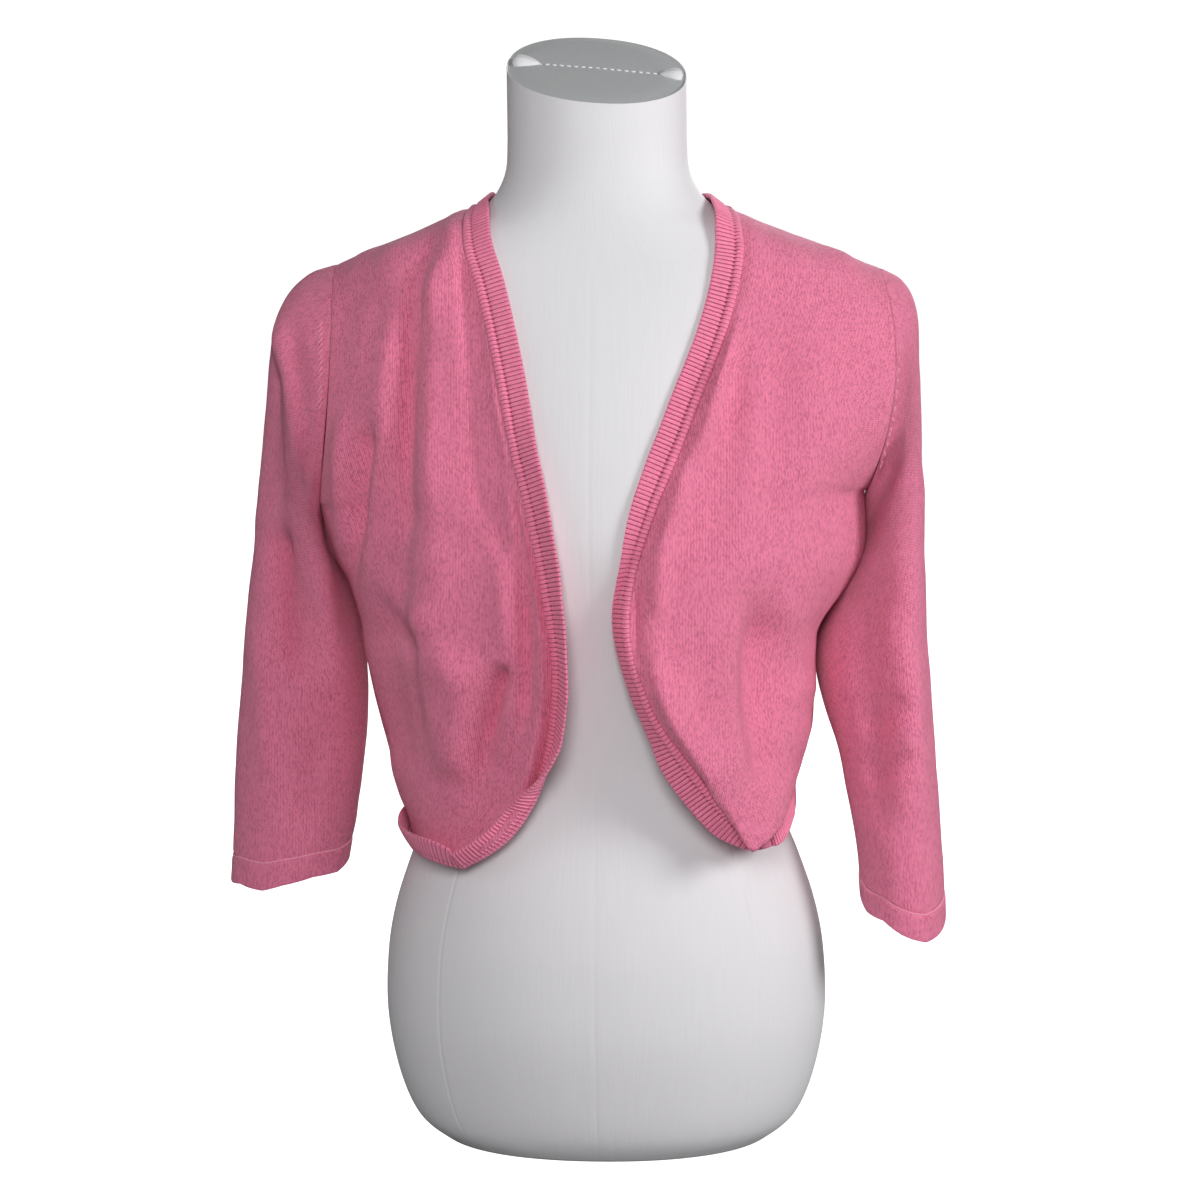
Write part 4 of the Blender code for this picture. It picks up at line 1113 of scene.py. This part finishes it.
def band_heights(phase, reach, worn):
    """Heights of a band's two faces: its stitched strip, its row of pits, its ribs and its edge."""
    across = reach / STRIP_WIDTH
    rib = rib_profile(phase)[:, None]
    in_rib = smooth((reach - STRIP_WIDTH) / RIB_START)
    inward = 1 - smooth((reach - (STRIP_WIDTH + RIB_LENGTH - EDGE_WIDTH)) / EDGE_WIDTH)
    rounding = EDGE_ROUND * (1 - inward)
    cord = np.sin(math.pi * np.clip(across, 0, 1)) ** STRIP_ROUNDNESS
    slanted = rib_profile(phase[:, None] + STRIP_SLANT * across[None, :])
    swell = STRIP_SWELL * cord + STRIP_STITCH * slanted * (cord > 0)
    pits = LINK_PIT * bell(reach - STRIP_WIDTH, LINK_PIT_WIDTH) * (1 - LINK_PIT_FILL * rib)
    outer = RIB_HEIGHT * rib * in_rib * (EDGE_RIB + (1 - EDGE_RIB) * inward) * worn
    outer += swell * (1 - in_rib) * worn - pits - rounding
    inner = -WALL - RIB_HEIGHT * rib_profile(phase + 0.5)[:, None] * in_rib * inward * worn
    inner += rounding - STRIP_UNDER * swell * (1 - in_rib)
    return outer, inner


def build_band(name, band):
    ribs = round(band.length / RIB_PITCH)
    distance = np.linspace(0, band.length, ribs * RIB_SAMPLES + 1)
    phase = distance / band.length * ribs
    reach = np.concatenate([np.linspace(0, STRIP_WIDTH, STRIP_ROWS), STRIP_WIDTH + RIB_LENGTH * RIB_ROWS])
    worn = 1 + WORN * soft_noise(distance, distance * 0, WORN_SPAN, len(name))[:, None]
    outer, inner = band_heights(phase, reach, worn)
    wavy = BAND_WAVE * soft_noise(distance, distance * 0, BAND_WAVE_SPAN, 3 + len(name))[:, None]
    wavy = wavy * smooth((reach - BAND_WAVE_FROM) / BAND_WAVE_RISE)[None, :]
    wavy *= smooth(np.minimum(distance, band.length - distance) / BAND_WAVE_ENDS)[:, None]
    u, v = np.broadcast_arrays((phase * RIB_PITCH)[:, None], -reach[None, :])
    outer, inner = (band.place(distance, reach, height + wavy) for height in (outer, inner))
    piece = build_wall(name + "_rib", outer, inner, RIB, np.stack([u, v], -1), sharp=70)
    finish_cloth(name)


def finish_cloth(node):
    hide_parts(node)


# --- the dress form's cover and cap ---
FORM_ROWS = 300
FORM_AROUND_FINE = 144
FORM_SEAMS = (-133, -90, -47, 0, 47, 90, 133, 180)  # degrees from +X, the front is -90
FAINT_SEAMS = (-90, 0, 180)
FAINT_SHARE = 0.4
SEAM_OFFSETS = (-1.2, -0.6, -0.3, 0.0, 0.3, 0.6, 1.2)  # degrees from a seam of the columns beside it
SEAM_ROOM = 1.4  # degrees within which it has no other column
FORM_SEAM_DEPTH = 0.3
FORM_SEAM_WIDTH = 0.9
FORM_SEAM_LIPS = (0.3, 2.2, 1.2)  # height, distance and width of the small rise on both its sides
FORM_SEAM_ENDS = ((4, 20), (600, 60))  # heights where the seams begin and end, and over how much
NECK_SHARES = np.linspace(0.05, 1, 14)  # heights of the neck's rings
GIRTH_ROW = 150  # whose girth the cover's map is laid along
# The neck's turned edge: share of the neck's width, height over the rim
NECK_EDGE = (
    (1.0, 0.0), (1.002, 0.7), (0.999, 1.2), (0.996, 1.0), (0.992, 0.5), (0.988, 0.1), (0.98, -0.4),
)
CAP_SPAN = 0.995  # of the neck's width
CAP_RINGS = np.array([0.12, 0.24, 0.36, 0.48, 0.6, 0.7, 0.8, 0.88, 0.94, 0.98, 1.0])
CAP_AROUND = 120
CAP_SKIRT = 2.0
CAP_RISE = 1.6  # beside its edge, over this share of its width
CAP_RISE_OVER = 0.2
CAP_DOME = 0.8
CAP_BEHIND = 1.5  # how far it stands higher at its back
CAP_BEHIND_OVER = 25.0
CAP_SEAM_DEPTH = 0.5
CAP_SEAM_WIDTH = 1.3
EARS = (
    # x, y, length, width, height, turn in degrees
    (-47.5, 2, 19, 11, 9, 4),
    (50, 2, 16, 10, 8, 184),
)
EAR_RINGS = 18
EAR_SIDES = 20
EAR_TAPER = 0.45
EAR_LIFT = 2.2
EAR_DIP = (0.9, 1.4)  # depth and width of the groove along its top


def form_angles():
    even = np.arange(FORM_AROUND_FINE) * 360 / FORM_AROUND_FINE - 180
    near = [seam + offset for seam in FORM_SEAMS for offset in SEAM_OFFSETS]
    kept = [a for a in even if min(abs((a - s + 180) % 360 - 180) for s in FORM_SEAMS) > SEAM_ROOM]
    return np.radians(np.sort((np.array(kept + near) + 180) % 360 - 180))


def seam_depth(angle, half):
    """How deep the form's seams lie at these angles."""
    rise, place, width = FORM_SEAM_LIPS
    total = 0
    for seam in FORM_SEAMS:
        away = (np.degrees(angle) - seam + 180) % 360 - 180
        distance = np.radians(away) * half
        groove = bell(distance, FORM_SEAM_WIDTH)
        lips = rise * bell(np.abs(distance) - place, width)
        total = total + (FAINT_SHARE if seam in FAINT_SEAMS else 1.0) * (groove - lips)
    return FORM_SEAM_DEPTH * total


def build_form():
    angle = form_angles()
    z, half, front, back = read_table(FORM_SECTIONS, np.linspace(0, 1, FORM_ROWS)).T[..., None]
    (low, low_over), (high, high_over) = FORM_SEAM_ENDS
    pressed = seam_depth(angle, half) * smooth((z - low) / low_over) * smooth((high - z) / high_over)
    body = section_points(z, angle, half - pressed, front - pressed, back - pressed)
    top_z, half, front, back = FORM_SECTIONS[-1]
    neck = []
    for share in NECK_SHARES:
        ring = section_points(top_z, angle, half, front, back)
        ring[:, 2] += share * (rim_height(ring[:, 0], ring[:, 1]) - top_z)
        neck.append(ring)
    for share, height in NECK_EDGE:
        ring = section_points(0.0, angle, half * share, front * share, back * share)
        ring[:, 2] = rim_height(ring[:, 0], ring[:, 1]) + height
        neck.append(ring)
    grid = np.concatenate([body, np.array(neck)])
    rows, columns = grid.shape[:2]
    u = np.broadcast_to(distances(closed(grid[GIRTH_ROW])), (rows, columns + 1))
    uv = np.stack([u, np.broadcast_to(grid[:, :1, 2], u.shape)], -1).reshape(-1, 2)
    faces, spots = (list(quads) for quads in quads_of(rows, columns, tube=True))
    for row in (0, rows - 1):
        faces.append(row * columns + np.arange(columns))
        spots.append(row * (columns + 1) + np.arange(columns))
    piece = make_piece("form_body_cover", grid.reshape(-1, 3), faces, JERSEY, spots, uv)
    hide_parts("form_body")


def cap_height(x, y):
    """The cap's surface: domed a little, pressed in along its edge and its seam."""
    _, half, front, back = FORM_SECTIONS[-1]
    reach = np.sqrt((x / half) ** 2 + (y / np.where(y > 0, back, front)) ** 2) / CAP_SPAN
    seam = CAP_SEAM_DEPTH * bell(y - CAP_SEAM[2], CAP_SEAM_WIDTH)
    dome = CAP_RISE * smooth((1 - reach) / CAP_RISE_OVER) + CAP_DOME * (1 - reach)
    return rim_height(x, y) + dome - seam + CAP_BEHIND * smooth(y / CAP_BEHIND_OVER)


def build_cap():
    _, half, front, back = FORM_SECTIONS[-1]
    angle = 2 * math.pi * np.arange(CAP_AROUND) / CAP_AROUND
    shares = CAP_SPAN * CAP_RINGS
    grid = np.array([section_points(0.0, angle, half * s, front * s, back * s) for s in shares])
    grid[..., 2] = cap_height(grid[..., 0], grid[..., 1])
    grid = np.concatenate([grid, grid[-1:] - (0, 0, CAP_SKIRT)])
    points = np.concatenate([[(0, 0, cap_height(0.0, 0.0))], grid.reshape(-1, 3)])
    faces = [(0, 1 + i, 1 + (i + 1) % CAP_AROUND) for i in range(CAP_AROUND)]
    faces += list(quads_of(len(grid), CAP_AROUND, tube=True, start=1)[0])
    faces.append(1 + (len(grid) - 1) * CAP_AROUND + np.arange(CAP_AROUND))
    piece = make_piece("form_cap_cover", points, faces, CAP_PAINTED_SHADE)
    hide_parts("form_cap")


def build_ears():
    """The cover's two gathered corners, which stand up at the ends of the cap's seam."""
    depth, groove = EAR_DIP
    along = np.linspace(-1, 1, EAR_RINGS + 1)[:, None]
    around = 2 * math.pi * np.arange(EAR_SIDES) / EAR_SIDES
    fat = np.sqrt(1 - along ** 2) * (1 - EAR_TAPER * along)
    for letter, (x, y, length, width, height, turn) in zip("ab", EARS):
        c, s = math.cos(math.radians(turn)), math.sin(math.radians(turn))
        px = along * length / 2
        py = np.cos(around) * fat * width / 2
        pz = np.sin(around) * fat * height / 2
        pz -= depth * bell(py, groove) * (pz > 0) * fat
        gx, gy = x + px * c - py * s, y + px * s + py * c
        grid = np.stack([gx, gy, rim_height(gx, gy) + EAR_LIFT + pz], -1)
        faces = list(quads_of(EAR_RINGS + 1, EAR_SIDES, tube=True)[0])
        faces += [row * EAR_SIDES + np.arange(EAR_SIDES) for row in (0, EAR_RINGS)]
        piece = make_piece("cover_corner_" + letter, grid.reshape(-1, 3), faces, JERSEY_PLAIN)


def build_cap_stitches():
    points, faces = [], []
    first, last, y = CAP_SEAM
    for x in np.linspace(first, last, CAP_STITCHES):
        centre = np.array([x, y, cap_height(x, y) + CAP_STITCH_OUT])
        along = np.array([1.0, 0.0, -NECK_LEAN])
        out = unit(np.array([NECK_LEAN, -NECK_TILT, 1.0]))
        add_stitch(points, faces, centre, along, out, CAP_STITCH)
    piece = make_piece("cap_stitches", points, faces, WHITE_THREAD)


# --- finishes ---
SPECULAR = 0.25
SHEEN_ROUGHNESS = 0.45
KNIT_ROUGHNESS = 0.9
KNIT_SHEEN = 0.35
KNIT_SHEEN_TINT = (1.0, 0.72, 0.8)
WALE = 1.95  # a column of stitches
COURSE = 1.45  # and a row of them
KNIT_SLANT = 1.6  # how many rows a V's arm rises over half a column's width
KNIT_WOBBLE = 0.18  # of a column
WOBBLE_SCALE = 160.0
STITCH_DEPTH = 0.6  # from the middle of an arm to its ends
YARN_ROUNDNESS = 0.6
YARN_JOIN = (3.0, 0.2, 0.62)  # how fast and softly it rises out of a groove, and to what height
KNIT_FUZZ = 0.9
KNIT_BUMP = 0.32
# painted shade: how much the colour darkens from a stitch's crest into the grooves between its arms and
# columns
KNIT_GROOVE_SHADE = 0.9
KNIT_LIFT = 1.34
EACH_STITCH = 0.75  # how much one stitch differs from the next in shade
STREAKS = 0.2
STREAK_SCALE = 520.0
STREAK_STRETCH = (1, 0.28, 1)
GRAIN = 1.0
GRAIN_NOISE = (1300.0, 3.0)  # scale and detail
PATCHES = 0.1
PATCH_NOISE = (45.0, 3.0)
GROOVE_PAINTED_SHADE = 0.4  # painted shade: how dark the colour is in a band's grooves
GROOVE_LIGHT = 0.75  # and how much lighter the painted shade leaves its ribs
GROOVE_ROUNDNESS = 0.7
# how far the painted shade reaches round the row of pits
PIT_SHADE_REACH = 1.3
# On the ribs: the depth of a stitch, and shares of the fuzz and of the differences of stitches.
RIB_STITCH_DEPTH = 0.2
RIB_FUZZ = 0.3
RIB_EACH = 0.4
JERSEY_STREAKS = (420.0, 3.0, (1, 0.07, 1))  # scale, detail and stretch
JERSEY_PATCHES = (9.0, 3.0, (1, 0.6, 1))
JERSEY_WEAVE = (1500.0, 1.0)
JERSEY_SHARES = (0.5, 0.6)  # of the streaks and the patches in its shade
JERSEY_WEAVE_SHARE = 0.5  # beside the streaks, in its bumps
JERSEY_ROUGHNESS = 0.75
JERSEY_SHEEN = 0.1
JERSEY_BUMP = 0.12
FIBRE_DETAIL = 4.0
FIBRE_BUMP = 0.15


def feed(tree, socket, value):
    """Links a node's output to the socket, or sets the socket to a number or a colour."""
    if isinstance(value, bpy.types.NodeSocket):
        tree.links.new(value, socket)
    else:
        socket.default_value = (*value, 1) if isinstance(value, tuple) else value


def node_math(tree, operation, *values):
    node = tree.nodes.new("ShaderNodeMath")
    node.operation = operation
    for socket, value in zip(node.inputs, values):
        feed(tree, socket, value)
    return node.outputs[0]


def node_mix(tree, share, first, second):
    node = tree.nodes.new("ShaderNodeMix")
    node.data_type = "RGBA"
    for i, value in ((0, share), (6, first), (7, second)):
        feed(tree, node.inputs[i], value)
    return node.outputs[2]


def node_noise(tree, vector, scale, detail=2.0, stretch=(1, 1, 1)):
    mapping = tree.nodes.new("ShaderNodeMapping")
    mapping.inputs["Scale"].default_value = stretch
    tree.links.new(vector, mapping.inputs["Vector"])
    node = tree.nodes.new("ShaderNodeTexNoise")
    node.inputs["Scale"].default_value = scale
    node.inputs["Detail"].default_value = detail
    tree.links.new(mapping.outputs[0], node.inputs["Vector"])
    return node.outputs["Fac"]


def new_material(name, roughness, sheen=0.0, tint=(1, 1, 1)):
    material = bpy.data.materials.new(name)
    material.use_nodes = True
    tree = material.node_tree
    shader = tree.nodes["Principled BSDF"]
    shader.inputs["Roughness"].default_value = roughness
    shader.inputs["Specular IOR Level"].default_value = SPECULAR
    shader.inputs["Sheen Weight"].default_value = sheen
    shader.inputs["Sheen Roughness"].default_value = SHEEN_ROUGHNESS
    shader.inputs["Sheen Tint"].default_value = (*tint, 1)
    return material, tree, shader


def add_bump(tree, shader, height, distance, strength=1.0):
    bump = tree.nodes.new("ShaderNodeBump")
    bump.inputs["Distance"].default_value = distance
    bump.inputs["Strength"].default_value = strength
    tree.links.new(height, bump.inputs["Height"])
    tree.links.new(bump.outputs[0], shader.inputs["Normal"])


def knit_map(tree):
    place = tree.nodes.new("ShaderNodeUVMap")
    place.uv_map = "knit"
    return place.outputs[0]


def stitch_height(calc, side, slanted, depth):
    """Height of the yarn, from the middle of a V's arm across to the groove beside it."""
    leg = calc("SINE", calc("MULTIPLY", calc("FRACT", slanted), math.pi))
    yarn = calc("MAXIMUM", calc("SINE", calc("MULTIPLY", side, 2 * math.pi)), 0.0)
    fast, soft, high = YARN_JOIN
    middle = calc("SMOOTH_MIN", 1.0, calc("MULTIPLY", side, fast), soft)
    form = calc("MAXIMUM", calc("POWER", yarn, YARN_ROUNDNESS), calc("MULTIPLY", middle, high))
    return calc("MULTIPLY", form, calc("MULTIPLY_ADD", leg, depth, 1 - depth))


def band_painted_shade(calc, shade, side, down):
    """Painted shade: the colour darkened in a band's deep grooves and in the row of pits where it is linked
    on.
    """
    groove = calc("POWER", calc("MULTIPLY", side, 2.0), GROOVE_ROUNDNESS)
    shade = calc("MULTIPLY", shade, calc("MULTIPLY_ADD", groove, GROOVE_LIGHT, GROOVE_PAINTED_SHADE))
    away = calc("ABSOLUTE", calc("ADD", down, STRIP_WIDTH * METRES))
    near = calc("MAXIMUM", calc("SUBTRACT", 1.0, calc("DIVIDE", away, PIT_SHADE_REACH * METRES)), 0.0)
    # painted shade in the pits, less where a rib fills them
    pit_painted_shade = calc("MULTIPLY", near, calc("SUBTRACT", 1.0, groove))
    return calc("MULTIPLY", shade, calc("SUBTRACT", 1.0, pit_painted_shade))


def knit_material(name, light, dark, wale, linked=False):
    """Rows of V stitches, laid along the cloth's own map in metres; no two stitches are alike.

    A linked one is the ribbed band's: each rib is one column of stitches.
    """
    material, tree, shader = new_material(name, KNIT_ROUGHNESS, KNIT_SHEEN, KNIT_SHEEN_TINT)
    calc = partial(node_math, tree)
    place = knit_map(tree)
    split = tree.nodes.new("ShaderNodeSeparateXYZ")
    tree.links.new(place, split.inputs[0])
    across = calc("DIVIDE", split.outputs[0], wale * METRES)
    if not linked:
        across = calc("MULTIPLY_ADD", node_noise(tree, place, WOBBLE_SCALE), KNIT_WOBBLE, across)
    side = calc("PINGPONG", across, 0.5)
    slanted = calc("MULTIPLY_ADD", side, KNIT_SLANT, calc("DIVIDE", split.outputs[1], COURSE * METRES))
    height = stitch_height(calc, side, slanted, RIB_STITCH_DEPTH if linked else STITCH_DEPTH)
    cell = tree.nodes.new("ShaderNodeCombineXYZ")
    tree.links.new(calc("FLOOR", calc("MULTIPLY", across, 2.0)), cell.inputs[0])
    tree.links.new(calc("FLOOR", slanted), cell.inputs[1])
    stitch = tree.nodes.new("ShaderNodeTexWhiteNoise")
    stitch.noise_dimensions = "3D"
    tree.links.new(cell.outputs[0], stitch.inputs["Vector"])
    each = stitch.outputs["Value"]
    streaks = node_noise(tree, place, STREAK_SCALE, stretch=STREAK_STRETCH)
    grain = node_noise(tree, place, *GRAIN_NOISE)
    patches = node_noise(tree, place, *PATCH_NOISE)
    # painted shade: the colour follows the yarn's height, darker towards its grooves
    shade = calc("MULTIPLY_ADD", height, KNIT_GROOVE_SHADE, 1 - KNIT_GROOVE_SHADE)
    each_amount = EACH_STITCH * (RIB_EACH if linked else 1)
    for value, amount in ((each, each_amount), (streaks, STREAKS), (grain, GRAIN), (patches, PATCHES)):
        shade = calc("MULTIPLY", shade, calc("MULTIPLY_ADD", value, amount, 1 - amount / 2))
    shade = calc("MULTIPLY", shade, KNIT_LIFT)
    # the band gets painted shade in its grooves and pits
    if linked:
        shade = band_painted_shade(calc, shade, side, split.outputs[1])
    tree.links.new(node_mix(tree, shade, dark, light), shader.inputs["Base Color"])
    fuzzy = calc("MULTIPLY_ADD", each, KNIT_FUZZ * (RIB_FUZZ if linked else 1), height)
    add_bump(tree, shader, fuzzy, KNIT_BUMP * METRES)
    return material


def jersey_material(name, light, dark):
    """Fine jersey with faint upright streaks."""
    material, tree, shader = new_material(name, JERSEY_ROUGHNESS, JERSEY_SHEEN)
    calc = partial(node_math, tree)
    place = knit_map(tree)
    streaks = node_noise(tree, place, *JERSEY_STREAKS)
    patches = node_noise(tree, place, *JERSEY_PATCHES)
    weave = node_noise(tree, place, *JERSEY_WEAVE)
    streaky, patchy = JERSEY_SHARES
    shade = calc("MULTIPLY_ADD", streaks, streaky, calc("MULTIPLY", patches, patchy))
    tree.links.new(node_mix(tree, shade, dark, light), shader.inputs["Base Color"])
    add_bump(tree, shader, calc("MULTIPLY_ADD", weave, JERSEY_WEAVE_SHARE, streaks), JERSEY_BUMP * METRES)
    return material


def fibre_material(name, light, dark, roughness=0.8, sheen=0.2, scale=500.0):
    """Thread or plain cloth with a fibrous grain, in the object's own places."""
    material, tree, shader = new_material(name, roughness, sheen)
    place = tree.nodes.new("ShaderNodeTexCoord")
    grain = node_noise(tree, place.outputs["Object"], scale, FIBRE_DETAIL)
    tree.links.new(node_mix(tree, grain, dark, light), shader.inputs["Base Color"])
    add_bump(tree, shader, grain, FIBRE_BUMP * METRES)
    return material


PINK = (1.0, 0.275, 0.45)
WHITE = (0.84, 0.83, 0.85)
# the darker colours are reached by the painted shade in the stitches' grooves and by the random differences
# of stitches, streaks, grain and patches
KNIT = knit_material("fine_knit", PINK, (0.36, 0.02, 0.07), WALE)
RIB = knit_material("rib_knit", PINK, (0.30, 0.02, 0.06), RIB_PITCH, linked=True)
MARK_YARN = fibre_material("mark_yarn", (1.0, 0.46, 0.6), (0.8, 0.22, 0.34))
STITCH_THREAD = fibre_material("hem_thread", (1.0, 0.5, 0.64), (0.85, 0.3, 0.44))
JERSEY = jersey_material("form_jersey", WHITE, (0.75, 0.74, 0.76))
JERSEY_PLAIN = fibre_material("form_jersey_plain", WHITE, (0.73, 0.72, 0.74))
# painted shade: the cap's grey stands in for the shade that falls on its upward-facing top
CAP_PAINTED_SHADE = fibre_material("form_cap_painted_shade_grey", (0.52, 0.535, 0.54), (0.42, 0.435, 0.44))
WHITE_THREAD = fibre_material("white_thread", (0.9, 0.9, 0.9), (0.75, 0.75, 0.75))

# --- making everything ---
build_form()
build_cap()
build_ears()
build_cap_stitches()
build_back()
for wearer_side in ("left", "right"):
    build_front(wearer_side)
    build_sleeve(wearer_side)


# --- stage, light and camera ---
CAMERA_DISTANCE = 1.9
CAMERA_AZIMUTH = 4.0
CAMERA_ELEVATION = 5.0
CAMERA_ROLL = 0.6
CAMERA_TARGET = (-0.0014, 0.0, 0.368)
FRAME_HEIGHT = 0.816  # metres across the picture at the target
SENSOR = 36.0
FLOOR_SIZE = 12.0
FLOOR_GREY = ((0.32, 0.32, 0.32), (0.3, 0.3, 0.3))
FLOOR_GLOW = 1.3
WORLD_STRENGTH = 0.06
WORLD_COLOUR = (1.0, 0.98, 1.0)
LIGHTS = (
    # name, place, height it is aimed at over the base's centre, size, power
    ("key", (1.8, -0.8, 1.1), 0.55, 0.8, 25),
    ("front", (0.05, -2.0, 1.05), 0.5, 0.8, 20.5),
    ("fill", (-1.8, -0.9, 1.0), 0.55, 0.8, 3.5),
    ("rear", (0.5, 2.1, 1.3), 0.45, 0.9, 24),
)


def build_camera():
    azimuth, elevation = math.radians(CAMERA_AZIMUTH), math.radians(CAMERA_ELEVATION)
    back = Vector((
        math.sin(azimuth) * math.cos(elevation),
        -math.cos(azimuth) * math.cos(elevation),
        math.sin(elevation),
    ))
    right = Vector((math.cos(azimuth), math.sin(azimuth), 0))
    up = back.cross(right)
    c, s = math.cos(math.radians(CAMERA_ROLL)), math.sin(math.radians(CAMERA_ROLL))
    right, up = c * right - s * up, s * right + c * up
    data = bpy.data.cameras.new("camera")
    data.sensor_width = SENSOR
    data.lens = SENSOR * CAMERA_DISTANCE / FRAME_HEIGHT
    camera = bpy.data.objects.new("camera", data)
    turn = Matrix((right, up, back)).transposed().to_4x4()
    camera.matrix_world = Matrix.Translation(Vector(CAMERA_TARGET) + back * CAMERA_DISTANCE) @ turn
    bpy.context.scene.collection.objects.link(camera)
    bpy.context.scene.camera = camera


def build_light(name, place, aim_height, size, power):
    data = bpy.data.lights.new(name, "AREA")
    data.shape = "DISK"
    data.size = size
    data.energy = power
    light = bpy.data.objects.new(name, data)
    light.location = place
    aim = Vector((0, 0, aim_height)) - Vector(place)
    light.rotation_euler = aim.to_track_quat("-Z", "Y").to_euler()
    light.visible_camera = False
    bpy.context.scene.collection.objects.link(light)


def whiten(tree, shader, output, glow):
    """Adds light of its own to a stage surface, seen by the camera alone."""
    path = tree.nodes.new("ShaderNodeLightPath")
    emission = tree.nodes.new("ShaderNodeEmission")
    strength = node_math(tree, "MULTIPLY", path.outputs["Is Camera Ray"], glow)
    tree.links.new(strength, emission.inputs["Strength"])
    both = tree.nodes.new("ShaderNodeAddShader")
    tree.links.new(shader, both.inputs[0])
    tree.links.new(emission.outputs[0], both.inputs[1])
    tree.links.new(both.outputs[0], output)


def build_stage():
    mesh = bmesh.new()
    bmesh.ops.create_grid(mesh, x_segments=1, y_segments=1, size=FLOOR_SIZE)
    data = bpy.data.meshes.new("floor")
    mesh.to_mesh(data)
    mesh.free()
    material = fibre_material("pale_floor", *FLOOR_GREY, roughness=0.9, sheen=0.0, scale=3.0)
    tree = material.node_tree
    shader = tree.nodes["Principled BSDF"].outputs[0]
    whiten(tree, shader, tree.nodes["Material Output"].inputs["Surface"], FLOOR_GLOW)
    data.materials.append(material)
    floor = bpy.data.objects.new("floor", data)
    bpy.context.scene.collection.objects.link(floor)


def build_world():
    world = bpy.data.worlds.new("studio")
    bpy.context.scene.world = world
    world.use_nodes = True
    tree = world.node_tree
    background = tree.nodes["Background"]
    background.inputs["Color"].default_value = (*WORLD_COLOUR, 1)
    background.inputs["Strength"].default_value = WORLD_STRENGTH
    whiten(tree, background.outputs[0], tree.nodes["World Output"].inputs["Surface"], 1.0)


build_stage()
build_world()
build_camera()
for light_row in LIGHTS:
    build_light(*light_row)
bpy.context.scene.view_settings.view_transform = "Standard"
